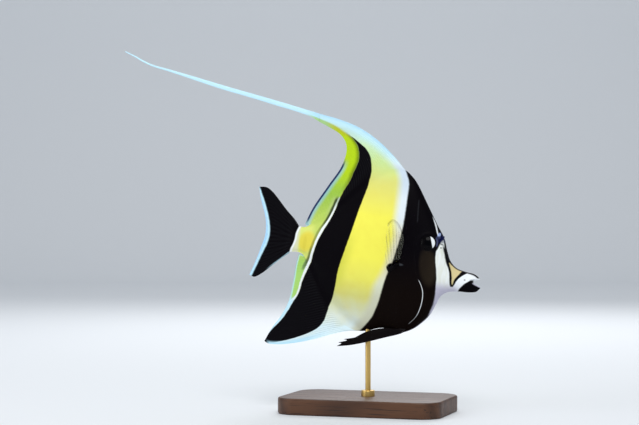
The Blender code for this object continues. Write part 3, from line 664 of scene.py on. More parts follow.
def square_to(surface):
    """The direction square to a curved grid of points, at each of its points."""
    normal = np.cross(np.gradient(surface, axis=0), np.gradient(surface, axis=1))
    return normal / np.linalg.norm(normal, axis=-1, keepdims=True)


def new_fin(name, middle, offset, ray, reach):
    """A closed thin fin about a middle surface, with the numbers that its paint reads."""
    points, faces = both_sides(middle + offset, middle - offset, grid_faces(*middle.shape[:2]))
    fin = new_object(name, points, faces, SKIN_CREASE)
    store(fin, ray=ray, reach=reach)
    return fin


def pectoral_fin(side):
    columns = PECTORAL_RAYS * COLUMNS_A_SIDE_RAY
    base, margin = straight(PECTORAL_FRONT[0], PECTORAL_REAR[0], columns), curved(PECTORAL_MARGIN, columns)
    plane = patch(base, margin, *(curved(line, PECTORAL_ROWS) for line in (PECTORAL_FRONT, PECTORAL_REAR)))
    ray, reach = ray_and_reach(plane, COLUMNS_A_SIDE_RAY)
    foot = half_width(*plane[:, 0].T)[:, None] - PECTORAL_SINK
    step = PECTORAL_STEP_OUT * (1 - np.exp(-reach / PECTORAL_STEP_SHARE))
    ripple = PECTORAL_RIPPLE * reach * np.cos(2 * math.pi * ray)
    out = foot + step + PECTORAL_SPREAD * reach**PECTORAL_CURL + ripple
    middle = beside(plane, side * out)
    half = fin_half(np.full(columns + 1, PECTORAL_ROOT_HALF), ray, reach, FAR)
    offset = square_to(middle) * half[..., None] * -side
    return new_fin(f"fish_pectoral_{SIDE_NAMES[side]}", middle, offset, ray, reach)


pectorals = {side: pectoral_fin(side) for side in (RIGHT, LEFT)}
print("pectoral fins:", PECTORAL_RAYS, "rays each")

# %% [markdown]
# ## Pelvic fins
# The two pelvic fins are long narrow black blades that trail back under the belly. Their first rows are sunk
# in the skin, and they splay apart before they run back, with the tips of the outer rays free.

# %% Pelvic fins
PELVIC_BASE_X = (38, 28)
PELVIC_BASE_RISE = 2.2
PELVIC_LOWER = [(33, -57.4), (22.8, -61.8), (8.6, -67.6), (-2, -71.3), (-12, -73.7)]
PELVIC_UPPER = [(21, -55.4), (9.4, -59.2), (-2, -67), (-11, -70.6)]
PELVIC_RAYS = 6
PELVIC_ROWS = 110
PELVIC_ROOT_HALF = 0.6
PELVIC_SINK = 0.6
PELVIC_SINK_SHARE = 0.05
PELVIC_SPLAY = 6.6
PELVIC_SPLAY_SPEED = 1.4
PELVIC_CLEARANCE = 0.5
PELVIC_NOTCH = 0.06
PELVIC_TIP_LIFT = {RIGHT: 0, LEFT: 1.5}


def pelvic_fin(side):
    columns = PELVIC_RAYS * COLUMNS_A_SIDE_RAY
    front, rear = ((x, float(belly(x)) + PELVIC_BASE_RISE) for x in PELVIC_BASE_X)
    base, tip = straight(front, rear, columns), straight(PELVIC_LOWER[-1], PELVIC_UPPER[-1], columns)
    lower, upper = curved([front, *PELVIC_LOWER], PELVIC_ROWS), curved([rear, *PELVIC_UPPER], PELVIC_ROWS)
    plane = patch(base, tip, lower, upper)
    ray, reach = ray_and_reach(plane, COLUMNS_A_SIDE_RAY)
    notch = 1 - PELVIC_NOTCH * np.sin(math.pi * ray / PELVIC_RAYS) ** 2 * reach**4
    plane = plane[:, :1] + (plane - plane[:, :1]) * notch[..., None]
    half = fin_half(np.full(columns + 1, PELVIC_ROOT_HALF), ray, reach, FAR)
    skin = half_width(plane[..., 0], plane[..., 1])
    inside = plane[..., 1] > belly(plane[..., 0])
    clear = ease(reach / PELVIC_SINK_SHARE)
    foot = skin[:, :1] - PELVIC_SINK * (1 - clear) + clear * half
    out = foot + (PELVIC_SPLAY - foot) * ease(reach * PELVIC_SPLAY_SPEED)
    out = np.where(inside, np.maximum(out, skin + half * clear + PELVIC_CLEARANCE * (2 * clear - 1)), out)
    middle = beside(plane, side * out)
    middle[..., 2] += PELVIC_TIP_LIFT[side] * reach**2
    offset = np.stack([0 * half, half, 0 * half], -1)
    return new_fin(f"fish_pelvic_{SIDE_NAMES[side]}", middle, offset, ray, reach)


pelvics = {side: pelvic_fin(side) for side in (RIGHT, LEFT)}
print("pelvic fins:", PELVIC_RAYS, "rays each")

# %% [markdown]
# ## Eyes
# A fish has no lids: the eye is a wide flat lens that bulges a little from a ring of skin. It sits square to
# the skin, so the way out of the skin is worked out first. The ball keeps its own frame, with X forward, Y up
# and Z outward, so that the paint of the eye can use distances from its own axis.

# %% Eyes
EYE_RADIUS = 7.2
EYE_DEPTH = 4.5
EYE_PROUD = 1.8
EYE_STEPS = (96, 48)
POLE_GAP = 0.01
SLOPE_STEP = 0.5


def skin_point(x, z, side):
    """The point of the skin over a place of the middle plane, and the way out of the skin there."""
    slope_x = (half_width(x + SLOPE_STEP, z) - half_width(x - SLOPE_STEP, z)) / (2 * SLOPE_STEP)
    slope_z = (half_width(x, z + SLOPE_STEP) - half_width(x, z - SLOPE_STEP)) / (2 * SLOPE_STEP)
    out = Vector((-float(slope_x), side, -float(slope_z))).normalized()
    return Vector((x, side * float(half_width(x, z)), z)), out


def ring_faces(rings, around):
    """Faces between closed rings that have so many points each."""
    index = np.arange(rings * around).reshape(rings, around)
    wrap = np.roll(index, -1, axis=1)
    return np.stack([index[:-1], wrap[:-1], wrap[1:], index[1:]], -1).reshape(-1, 4)


def turned_grid(radius, height, around):
    """Points of a form of revolution about Z, from its first ring to its last, and its faces."""
    angle = np.linspace(0, 2 * math.pi, around, endpoint=False)
    ring = np.stack([np.cos(angle), np.sin(angle), np.ones(around)], -1)
    size = np.stack([radius, radius, height], -1)[:, None]
    return (size * ring).reshape(-1, 3), ring_faces(len(radius), around)


def eye(side):
    place, out = skin_point(*EYE_CENTRE, side)
    around, rings = EYE_STEPS
    polar = np.linspace(math.pi - POLE_GAP, POLE_GAP, rings)
    points, faces = turned_grid(EYE_RADIUS * np.sin(polar), EYE_DEPTH * np.cos(polar), around)
    forward = (Vector((1, 0, 0)) - out * out.x).normalized()
    up = forward.cross(out) * side
    centre = place + out * (EYE_PROUD - EYE_DEPTH)
    pose = FISH_POSE @ Matrix.Translation(centre * MM) @ Matrix((forward, up, out)).transposed().to_4x4()
    facing = faces[:, ::-1] if side is LEFT else faces
    return new_object(f"fish_eye_{SIDE_NAMES[side]}", points, facing, pose=pose)


eyes = {side: eye(side) for side in (RIGHT, LEFT)}
print("eyes:", 2 * EYE_RADIUS, "mm wide,", EYE_PROUD, "mm proud")

# %% [markdown]
# ## Brow horns
# An adult carries a short blunt horn of bone in front of each eye, bent forward. It is a tapered tube with a
# rounded tip along a slightly curved line, wider at its foot where it sinks into the skin.

# %% Brow horns
HORN_PLACE = (53.2, 16.6)
HORN_LENGTH = 2.5
HORN_SINK = 0.8
HORN_RADIUS = [(0, 1.75), (0.2, 1.4), (0.5, 1.1), (0.8, 0.75), (0.92, 0.5), (1, 0.05)]
HORN_SWEEP = Vector((0.5, 0, 0.25))
HORN_AROUND = 32
HORN_RINGS = 24


def horn(side):
    place, out = skin_point(*HORN_PLACE, side)
    share = np.linspace(0, 1, HORN_RINGS)
    points, faces = turned_grid(read(HORN_RADIUS, share), share, HORN_AROUND)
    turn = np.array(Vector((0, 0, 1)).rotation_difference(out).to_matrix())
    along = points[:, 2:3]
    flat = np.concatenate([points[:, :2], 0 * along], 1) @ turn.T
    axis = np.array(out) * (along * HORN_LENGTH - HORN_SINK)
    bent = np.array(HORN_SWEEP) * HORN_LENGTH * along**2 / 2
    return new_object(f"fish_horn_{SIDE_NAMES[side]}", np.array(place) + axis + bent + flat, faces)


horns = {side: horn(side) for side in (RIGHT, LEFT)}
print("horns:", HORN_LENGTH, "mm long")

# %% [markdown]
# ## Lining of the mouth
# The mouth is a little open. Without a lining one would see through the fish between its lips, so a wedge
# fills the gap, narrower than the lips and set back from their tips. It stands for the inside of the mouth,
# and its near-black colour is painted shade.

# %% Lining of the mouth
LINING_STEPS = (24, 12)
LINING_SHARES = (0.02, 0.3)
LINING_OVERLAP = 0.5
LINING_WIDTH = 0.62

columns, rows = LINING_STEPS
shares = straight(*LINING_SHARES, columns)
lower = (through(LOWER_LIP)(shares) - [0, LINING_OVERLAP])[:, None]
upper = (through(UPPER_LIP)(shares) + [0, LINING_OVERLAP])[:, None]
t = straight(0, 1, rows)[None, :, None]
wedge = lower * (1 - t) + upper * t
half = LINING_WIDTH * read(HALF_WIDTH, wedge[..., 0])
points, faces = both_sides(beside(wedge, -half), beside(wedge, half), grid_faces(columns + 1, rows + 1))
lining = new_object("fish_mouth_lining", points, faces, SKIN_CREASE)
print("lining:", len(lining.data.polygons), "faces")

# %% [markdown]
# ## Stand
# A plain museum stand: a walnut plate with rounded corners, a brass rod that runs up into the belly, and a
# small brass collar where the rod meets the wood. The plate is a stack of rounded outlines, drawn in at its
# bevels. Rod and collar are turned parts, so a profile turned about the upright axis makes them, with the
# sharp edges broken as on a lathe.

# %% Stand
BASE_LENGTH = 124
BASE_DEPTH = 76
BASE_HEIGHT = 12
BASE_CORNER = 16
BASE_CORNER_STEPS = 24
BASE_BEVEL = 1.5
BASE_BEVEL_STEPS = 5
ROD_RADIUS = 2
ROD_INSET = 9
ROD_ROUND = 0.5
COLLAR_RADIUS = 5
COLLAR_HEIGHT = 4.3
COLLAR_ROUND = 0.7
ROUND_STEPS = 6
TURNED_AROUND = 96
TURNED_GAP = 0.02
STAND_CREASE = 35


def plate_ring(inset, height):
    """Corners of the rounded plate at one height, drawn in from its widest outline."""
    ring = []
    for quarter, (east, north) in enumerate(((1, 1), (-1, 1), (-1, -1), (1, -1))):
        for k in range(BASE_CORNER_STEPS + 1):
            angle = (quarter + k / BASE_CORNER_STEPS) * math.pi / 2
            radius = BASE_CORNER - inset
            ring.append((
                east * (BASE_LENGTH / 2 - BASE_CORNER) + radius * math.cos(angle),
                north * (BASE_DEPTH / 2 - BASE_CORNER) + radius * math.sin(angle),
                height,
            ))
    return ring


def rounding(size, steps):
    """How far a rounded edge draws in, and how far it lies below its top, from its side to its top."""
    turn = np.linspace(0, math.pi / 2, steps)
    return [(size * (1 - math.cos(a)), size * (1 - math.sin(a))) for a in turn]


def stand_plate():
    """The plate from rings, one for each step of its bevels, closed by a flat face at top and bottom."""
    above = [(inset, BASE_HEIGHT - drop) for inset, drop in rounding(BASE_BEVEL, BASE_BEVEL_STEPS + 1)]
    below = [(inset, BASE_HEIGHT - height) for inset, height in reversed(above)]
    rings = np.array([plate_ring(*step) for step in below + above])
    count, around, _ = rings.shape
    numbers = list(range(count * around))
    faces = [*ring_faces(count, around).tolist(), numbers[:around][::-1], numbers[-around:]]
    mesh = bpy.data.meshes.new("stand_plate")
    mesh.from_pydata((rings.reshape(-1, 3) * MM).tolist(), [], faces)
    mesh.shade_smooth()
    mesh.set_sharp_from_angle(angle=math.radians(STAND_CREASE))
    return linked("stand_plate", mesh)


def turned_part(name, bore, radius, top, size):
    """A part turned on a lathe that stands on the plate, with its upper outer edge rounded."""
    edge = [(radius - inset, top - drop) for inset, drop in rounding(size, ROUND_STEPS)]
    profile = np.array([(bore, BASE_HEIGHT), (radius, BASE_HEIGHT), *edge, (bore, top)])
    points, faces = turned_grid(*profile.T, TURNED_AROUND)
    return new_object(name, points, faces, STAND_CREASE, Matrix.Identity(4))


fish_x = -float(belly(0)) * math.tan(NOSE_DOWN)
belly_height = SWIM_HEIGHT + float(belly(fish_x)) * math.cos(NOSE_DOWN) - fish_x * math.sin(NOSE_DOWN)
rod_top = belly_height + ROD_INSET
collar_top = BASE_HEIGHT + COLLAR_HEIGHT
plate = stand_plate()
rod = turned_part("stand_rod_turned", TURNED_GAP, ROD_RADIUS, rod_top, ROD_ROUND)
collar_bore = ROD_RADIUS + TURNED_GAP
collar = turned_part("stand_collar_turned", collar_bore, COLLAR_RADIUS, collar_top, COLLAR_ROUND)
print("rod:", round(rod_top - BASE_HEIGHT, 1), "mm from the plate to its end in the belly")

# %% [markdown]
# ## Sums on sockets
# The markings are masks: numbers from 0 to 1 that come from the place on the fish. In the node editor each
# sum is a Math node, and dozens of them are hard to follow. The small class below wraps a socket, so that a
# plain expression such as `1 - mask` adds the node for it. Colours are laid over each other with Mix nodes
# instead, because a Math node would turn them grey.

# %% A socket that can be reckoned with


def sums(operation, order=1):
    """A method that adds a Math node of a value and its other terms, or of these turned round."""

    def method(*terms):
        return terms[0].paint.node("Math", {"operation": operation}, dict(enumerate(terms[::order])))

    return method


class Value:
    """A socket of a material's graph. Sums on it add Math nodes."""

    __add__ = __radd__ = sums("ADD")
    __mul__ = __rmul__ = sums("MULTIPLY")
    __sub__, __rsub__ = sums("SUBTRACT"), sums("SUBTRACT", -1)
    __truediv__, __pow__, __abs__ = sums("DIVIDE"), sums("POWER"), sums("ABSOLUTE")
    most, cosine = sums("MAXIMUM"), sums("COSINE")

    def __init__(self, paint, socket):
        self.paint, self.socket = paint, socket

    def wave(self, turns):
        """A cosine of the value: 1 at whole numbers of turns, 0 half way between."""
        return (self * (2 * math.pi * turns)).cosine() * 0.5 + 0.5

    def over(self, limit, soft):
        """0 well below the limit and 1 well above it, with a soft change between."""
        ends = {"Value": self, "From Min": limit - soft, "From Max": limit + soft}
        return self.paint.node("MapRange", {"interpolation_type": "SMOOTHSTEP"}, ends)

    def under(self, limit, soft):
        return 1 - self.over(limit, soft)


print("helpers ready: sums, Value")

# %% [markdown]
# ## A material in the making
# A material is a graph of nodes that ends in one shader. Building it by hand means many lines for each node,
# so one method below takes a node's type, its settings and its sockets. The others are shorthands for the
# few nodes that every finish here uses: colours in layers, soft noise and bump.

# %% A material in the making


class Paint:
    """A material in the making. One method adds any node: its settings first, then its sockets."""

    def __init__(self, name):
        self.material = bpy.data.materials.new(name)
        self.material.use_nodes = True
        self.shader = self.material.node_tree.nodes["Principled BSDF"]

    def plug(self, socket, value):
        if isinstance(value, Value):
            self.material.node_tree.links.new(value.socket, socket)
        elif socket.type == "RGBA":
            socket.default_value = (*value, 1)
        else:
            socket.default_value = value

    def node(self, kind, settings=None, sockets=None, output=0):
        made = self.material.node_tree.nodes.new("ShaderNode" + kind)
        for key, value in (settings or {}).items():
            if key == "stops":
                ramp = made.color_ramp.elements
                while len(ramp) < len(value):
                    ramp.new(0.5)
                for stop, (place, colour) in zip(ramp, value):
                    stop.position, stop.color = place, (*colour, 1)
            elif key == "bends":
                points = made.mapping.curves[0].points
                while len(points) < len(value):
                    points.new(0.5, 0.5)
                for point, place in zip(points, value):
                    point.location, point.handle_type = place, "AUTO_CLAMPED"
                made.mapping.update()
            else:
                setattr(made, key, value)
        for key, value in (sockets or {}).items():
            self.plug(made.inputs[key], value)
        return Value(self, made.outputs[output])

    def mix(self, colour, *layers):
        """A colour with others laid over it in turn. Each layer is a colour and its mask."""
        for other, mask in layers:
            colour = self.node("Mix", {"data_type": "RGBA"}, {0: mask, 6: colour, 7: other}, 2)
        return colour

    def stored(self, name, output="Fac"):
        """What the mesh keeps under a name: a number, or its place in millimetres as a vector."""
        return self.node("Attribute", {"attribute_name": name}, output=output)

    def parts(self, vector):
        """The three parts of a vector."""
        split = self.node("SeparateXYZ", {}, {"Vector": vector}).socket.node
        return [Value(self, output) for output in split.outputs]

    def grain(self, place, scale, stretch=(1, 1, 1), detail=3):
        """Soft noise from 0 to 1, with so many grains a unit of the place."""
        sockets = {0: place, 1: [scale * part for part in stretch]}
        scaled = self.node("VectorMath", {"operation": "MULTIPLY"}, sockets)
        return self.node("TexNoise", {}, {"Vector": scaled, "Scale": 1, "Detail": detail})

    def bump(self, height, depth_mm, after=None):
        sockets = {"Height": height, "Strength": 1, "Distance": depth_mm * MM}
        if after:
            sockets["Normal"] = after
        return self.node("Bump", {}, sockets)

    def finish(self, pieces, colour, roughness, gloss=0.5, **others):
        """Sets the shader's own sockets and gives the material to the pieces."""
        sockets = {"Base Color": colour, "Roughness": roughness, "Specular IOR Level": gloss, **others}
        for key, value in sockets.items():
            self.plug(self.shader.inputs[key], value)
        for piece in pieces:
            piece.data.materials.clear()
            piece.data.materials.append(self.material)
        print(self.material.name, "uses", len(self.material.node_tree.nodes), "nodes")


def tint(red, green, blue):
    """A colour from its screen values up to 255, as the plain light values that a shader wants."""
    parts = [part / 255 for part in (red, green, blue)]
    return tuple(p / 12.92 if p < 0.04 else ((p + 0.055) / 1.055) ** 2.4 for p in parts)


print("grey 188 is", round(tint(188, 188, 188)[0], 2), "of full light")

# %% [markdown]
# ## Colours of the fish
# The colours are named once, for all its parts. The band between the black bars changes from bluish white in
# the dorsal fin through lime and lemon to white at the belly, which one ramp over the height gives.

# %% Colours of the fish
BLACK = tint(5, 3, 7)
# Brown-black for painted sheen on black skin and fins.
BROWN_SHEEN = tint(13, 6, 4)
# Olive-brown for the painted sheen on the cheek.
OLIVE_SHEEN = tint(38, 31, 23)
NAVY = tint(16, 26, 84)
SLATE = tint(78, 82, 88)
WHITE = tint(240, 245, 248)
PEARL = tint(228, 232, 222)
CREAM = tint(220, 222, 190)
ICE = tint(198, 238, 253)
SKY = tint(150, 200, 228)
LEMON = tint(246, 240, 92)
STRAW = tint(230, 225, 112)
GOLD = tint(230, 214, 78)
AMBER = tint(196, 178, 52)
LIME = tint(156, 198, 76)
ACID = tint(184, 216, 30)
MINT = tint(172, 218, 116)
LEAF = tint(202, 218, 110)
TAN = tint(216, 200, 148)
LILAC = tint(198, 196, 214)
BAND = [
    (-62, tint(222, 244, 250)), (-52, tint(224, 234, 222)), (-44, tint(214, 220, 182)),
    (-34, tint(214, 214, 130)), (-22, tint(236, 232, 104)), (-5, LEMON), (26, LEMON), (42, STRAW),
    (52, tint(218, 219, 126)), (58, tint(212, 225, 136)), (66, tint(203, 230, 156)),
    (76, tint(207, 238, 190)), (86, tint(204, 242, 226)),
]
print("colours of the band over", BAND[-1][0] - BAND[0][0], "mm of height")

# %% [markdown]
# ## Borders of the markings
# Each marking of this fish has edges that run up and down, so an edge is best told as the place along the
# body at each height. Every list below is such an edge, read from top to bottom, and a curve node turns it
# into a smooth line. Painting by hand on an unwrapped mesh would work too, but could not be reused.

# %% Borders of the markings
BAR_ONE_REAR = [
    (21.4, 60.5), (22.9, 58), (25.1, 53.6), (26, 47.5), (26.4, 40.8), (26.8, 33.5), (27, 26.1), (26.8, 18.8),
    (26, 11.3), (24.7, 3.8), (22.3, -8), (19.2, -17.8), (17.4, -27), (16, -34.6), (13.7, -42.4), (11, -48.9),
    (7.3, -54.1), (2.6, -59.8),
]
BAR_ONE_FRONT = [
    (56.4, 16), (55.8, 14.5), (55.2, 12.2), (54.4, 9.2), (53.6, 6.3), (53.8, 2.7), (54.3, -0.8), (55.3, -5.1),
    (56.1, -9.4), (56.7, -13.6), (56.8, -18.1), (56.8, -22.5), (56.5, -27), (55.6, -32), (53, -40),
]
BAR_TWO_FRONT = [
    (-24.9, 81.9), (-21.4, 80.1), (-17, 77.4), (-11.8, 73.9), (-8.4, 69.9), (-6.8, 66.2), (-5.8, 62.5),
    (-5.1, 58.8), (-5, 55.1), (-5.6, 51.3), (-6.5, 43.7), (-9.2, 28.4), (-11.8, 13.1), (-15, -2.2),
    (-18.3, -17.7), (-19.6, -30), (-21.4, -39.2), (-23.4, -44.9), (-25.2, -52.7), (-26.8, -58.2),
    (-30.1, -62.8), (-34.5, -66.5), (-43.3, -71.6), (-52.3, -75.8), (-61.4, -79.1), (-66, -80.8),
]
BAR_TWO_REAR = [
    (-24.9, 81.9), (-21.2, 78.3), (-19, 75.8), (-17.4, 72.2), (-16.5, 68.6), (-16.4, 64.8), (-17.2, 60.9),
    (-19.1, 55.2), (-20.7, 49.3), (-24.4, 41.4), (-27.2, 33.5), (-29.1, 25.7), (-31.7, 17.8), (-35, 9.8),
    (-37.9, 2), (-40, -5.9), (-41.7, -13.6), (-44.8, -21.8), (-47.4, -29.8), (-48.7, -37.5), (-50, -42.2),
    (-51.9, -45.5), (-55.6, -53.7), (-60.2, -62.1), (-66.9, -70.8), (-70.5, -77),
]
STRIPE_REAR = [
    (-27.4, 36), (-28.4, 33), (-29.4, 29.3), (-30.5, 25.4), (-33.4, 17.5), (-37.3, 9.4), (-39.8, 1.5),
    (-42, -7), (-43.9, -13.6), (-46.9, -21.8), (-48.9, -29.8), (-50, -37.5), (-51.5, -42.2), (-55, -46.5),
    (-60, -56), (-68, -70), (-72, -78),
]
TAIL_FOOT = [
    (-55, 10), (-55.9, 6.7), (-56.5, 4.3), (-56.8, 0), (-57.4, -2.6), (-58.2, -5), (-59.2, -7.4),
    (-60, -10.4),
]
TAIL_BLACK_REAR = [
    (-90.7, 34.5), (-89.6, 32.5), (-87.8, 28.9), (-85.9, 25.4), (-82.6, 18.3), (-79.9, 11), (-78.4, 4.6),
    (-78, -0.1), (-78.5, -4), (-79.4, -7.9), (-81, -12), (-84.2, -21.5), (-87.6, -31.4),
]
CHEST_LINE = [
    (44.2, -15.7), (46.1, -18.7), (47.8, -22.9), (48.3, -27.4), (47.9, -32.4), (46.7, -37.6), (44.5, -42.9),
    (39.8, -48.6),
]
BROW_LINE = [(46.2, 31.2), (48, 27.8), (50.1, 23.7), (51.7, 20.2), (52.9, 18)]
# A faint line on the black behind the head is a painted highlight.
NECK_HIGHLIGHT = [(34.7, 42), (36.8, 26.1)]
SADDLE_REAR = [
    (57.6, 13.4), (59, 9.2), (60.6, 4.9), (61.9, 1.4), (62.8, -0.5), (63.9, -2.6), (65.3, -5.3), (66.5, -8.8),
    (67, -12.3), (67.4, -15.2), (67.8, -17),
]
SADDLE_FRONT = [(73.6, -4.6), (72.4, -5.6), (71.2, -7.9), (69.3, -10.5), (68.5, -12.7), (67.9, -15.5)]
LIP_REAR = [
    (77.3, -5.8), (75.1, -7.5), (73.3, -9.2), (71.8, -10.8), (70.9, -12.4), (70.1, -14), (69, -16.4),
    (68.3, -17.6),
]
CHIN_REAR = [(80.6, -10.4), (78.6, -12), (76.3, -13.8), (75, -15.4), (73.6, -17.1), (71.8, -20.1)]
print("edges:", len(BAR_ONE_REAR), "points for the rear edge of the front bar")

# %% [markdown]
# ## Masks from the borders
# Four helpers turn the lists into masks: the smooth edge itself, everything ahead of it, a thin line along
# it, and an oval for the few marks that are no edge. A little noise makes the long edges waver by a fraction
# of a millimetre, as scales do.

# %% Masks from the borders
WEST, EAST = -100, 100
LOW, HIGH = -85, 100
WAVER_MM = 0.55

skin = Paint("moorish_skin")
place = skin.stored("place", "Vector")
x, y, z = skin.parts(place)
ray, reach, lead, trail = (skin.stored(name) for name in ("ray", "reach", "lead", "trail"))
height = (z - LOW) / (HIGH - LOW)
waver = (skin.grain(place, 0.35, detail=2) - 0.5) * WAVER_MM


def border(points):
    """The place along the body of an edge, at each height."""
    bends = [((up - LOW) / (HIGH - LOW), (along - WEST) / (EAST - WEST)) for along, up in reversed(points)]
    return skin.node("FloatCurve", {"bends": bends}, {"Value": height}) * (EAST - WEST) + WEST


def ahead(points, soft=0.45, shift=0.0):
    """1 ahead of an edge and 0 behind it."""
    return (x + waver - border(points)).over(shift, soft)


def stroke(points, width, soft=0.4):
    """1 on a thin line along the points and 0 away from it."""
    (_, top), (_, low) = points[0], points[-1]
    lean = np.abs(np.diff([p[0] for p in points]) / np.diff([p[1] for p in points])).mean()
    wide = width / 2 * math.sqrt(1 + lean**2)
    return abs(x - border(points)).under(wide, soft) * z.under(top, 0.8) * z.over(low, 0.8)


def spot(centre, size, soft=0.3, turn=0.0):
    """1 inside an oval and 0 outside it. Its size is its two half widths, and it may be turned."""
    along, up = x - centre[0], z - centre[1]
    cosine, sine = math.cos(math.radians(turn)), math.sin(math.radians(turn))
    one, two = (along * cosine + up * sine) / size[0], (up * cosine - along * sine) / size[1]
    return (one * one + two * two).under(1, soft)


print("edges are told over", HIGH - LOW, "mm of height")

# %% [markdown]
# ## Band, bars and rear
# The paint goes on from the widest areas to the finest lines, as a painter would do it. First comes the
# coloured band, then the gold and lime of the rear, the two black bars and the white stripes beside them.

# %% Band, bars and rear
stops = [((up - LOW) / (HIGH - LOW), colour) for up, colour in BAND]
mottle = skin.grain(place, 0.12, detail=4)
beside_two = (1 - ahead(BAR_TWO_FRONT, soft=5, shift=5)) * z.over(-30, 8) * z.under(6, 14)
band = skin.mix(
    skin.node("ValToRGB", {"stops": stops}, {0: height}),
    (AMBER, spot((0, -33), (17, 13), 0.8) * (mottle - 0.2) * 0.3),
    (GOLD, (mottle - 0.4).most(0) * 0.5 * (1 - reach)),
    (tint(204, 206, 74), beside_two * 0.6),
)

behind_two = 1 - ahead(BAR_TWO_REAR)
on_fin = reach.over(0.08, 0.08)
stalk = x.under(-43, 3) * z.over(-13, 3) * z.under(12, 3) * (1 - on_fin)
stalk_end = x.under(-53.6, 1.5) * (1 - on_fin) * z.over(-14, 2) * z.under(14, 2)
lime = skin.mix(LIME, (MINT, z.under(-14, 16)), (ACID, z.over(46, 12)))
rear = skin.mix(
    LEAF,
    (lime, z.over(22, 22).most(on_fin * z.under(-12, 6))),
    (tint(168, 206, 138), x.under(-40, 6) * z.over(80, 3)),
    (AMBER, spot((-32.5, 85), (11, 2.4), 0.9, turn=-21) * 0.5),
    (tint(104, 124, 92), spot((-45.9, -16), (1.7, 6.5), 0.6, turn=-25) * 0.65),
    (tint(222, 230, 122), stalk * 0.9),
    (GOLD, spot((-47.2, -0.6), (6.4, 8), 0.6, turn=-22) * 0.95),
    (AMBER, spot((-48.4, -1.5), (1.6, 5), 0.8) * 0.2),
    (CREAM, stalk_end * 0.9),
)

bar_two = (1 - ahead(BAR_TWO_FRONT)) * (1 - behind_two)
bar_two_colour = skin.mix(BLACK, (tint(74, 84, 12), z.over(79.5, 2.5)))
olive = behind_two * ahead(BAR_TWO_REAR, shift=-1.8, soft=2) * z.over(44, 8)
in_stripe = ahead(STRIPE_REAR)
stripe = skin.mix(WHITE, (tint(182, 196, 190), z.over(29, 4)))
beside_stripe = behind_two * z.under(35, 2) * z.over(-20, 6) * (1 - in_stripe)
pale_lime = beside_stripe * ahead(STRIPE_REAR, shift=-4.4, soft=1.5) * z.over(22, 6)
shade = beside_stripe * ahead(STRIPE_REAR, shift=-2.1, soft=0.8)
shade_depth = z.over(13, 5) * 0.4 + 0.5 + spot((-45, -10), (6, 6), 0.8) * 0.2

behind_fin = z.over(-20, 6) * z.under(20, 8)
strip = skin.mix(
    tint(206, 208, 184),
    (tint(224, 230, 204), z.over(-26, 10)),
    (tint(226, 236, 242), z.over(10, 24)),
    (tint(204, 219, 232), z.over(46, 8)),
    (tint(226, 218, 184), behind_fin * 0.7),
)
bar_one = ahead(BAR_ONE_REAR, soft=0.7).most(spot((25.3, -9.8), (6, 3.9), 0.25, turn=-8))
colour = skin.mix(
    band,
    (rear, behind_two),
    (bar_two_colour, bar_two),
    (tint(64, 78, 12), olive * 0.7),
    (tint(188, 208, 130), pale_lime * 0.6),
    (tint(24, 34, 30), shade * shade_depth),
    (stripe, behind_two * in_stripe * z.under(35.6, 0.8)),
    (strip, (x - border(BAR_ONE_REAR)).over(behind_fin * 2.2 - 6.7, 3.8)),
    # Low on the front bar the black turns brown-black: a painted sheen.
    (skin.mix(BLACK, (BROWN_SHEEN, z.under(-12, 20))), bar_one),
    # A soft grey spot on the fleshy foot of the pectoral fin: a painted highlight.
    (SLATE, spot((28.7, -6.3), (2.4, 0.8), 0.9) * 0.6),
)
print("band, rear and two bars painted")

# %% [markdown]
# ## Face
# The face is white from the front bar to the chin, with a tan saddle rimmed in black across the snout and a
# black line down the middle of the forehead. The lips are white above and black below. A few thin pale lines
# lie on the black: along the gill cover, over the brow and under the throat.

# %% Face
MEDIAN_HALF = 1.1
MEDIAN_SPREAD = 1.4
face = ahead(BAR_ONE_FRONT, soft=0.5) * z.under(15.5, 1)
streaks = skin.grain(place, 0.5, (1, 1, 0.15), 2)
pale = skin.mix(
    PEARL,
    (WHITE, x.over(67, 4).most(streaks.over(0.5, 0.2) * 0.7)),
    (LILAC, z.under(-17, 4) * x.under(72, 4)),
)
rimmed = ahead(SADDLE_REAR, shift=-1.3) * (1 - ahead(LIP_REAR)) * z.over(-17.2, 0.5) * z.under(11, 2)
saddle = ahead(SADDLE_REAR, shift=0.4) * (1 - ahead(SADDLE_FRONT, shift=0.35)) * z.over(-15.6, 1)
median = (abs(y) - z.under(15, 3) * MEDIAN_SPREAD).under(MEDIAN_HALF, 0.4) * z.over(-2, 1) * x.over(44, 3)
ridge = abs(y).under(2, 0.5) * x.over(60, 2) * x.under(86.4, 1) * z.over(-8.4, 0.4)
chin = ahead(CHIN_REAR, soft=0.5) * z.under(-10.4, 0.4)
lip_line = abs(z - ((x - 82.5) * -0.39 - 12.65)).under(0.3, 0.2) * x.over(82, 0.8)
# The cheek below the eye gets a soft olive-brown oval on the black: a painted sheen, stronger towards the
# front.
cheek_sheen = spot((49.4, -5), (6, 13.5), 0.55, turn=12) * (1 - face) * z.under(6.5, 1.5)
keel = abs(y).under(1.3, 0.5) * z.under(-28, 4) * x.over(42, 6) * (1 - face)
chest_fade = 0.35 + spot((49, -27), (9, 14), 0.7) * 0.65
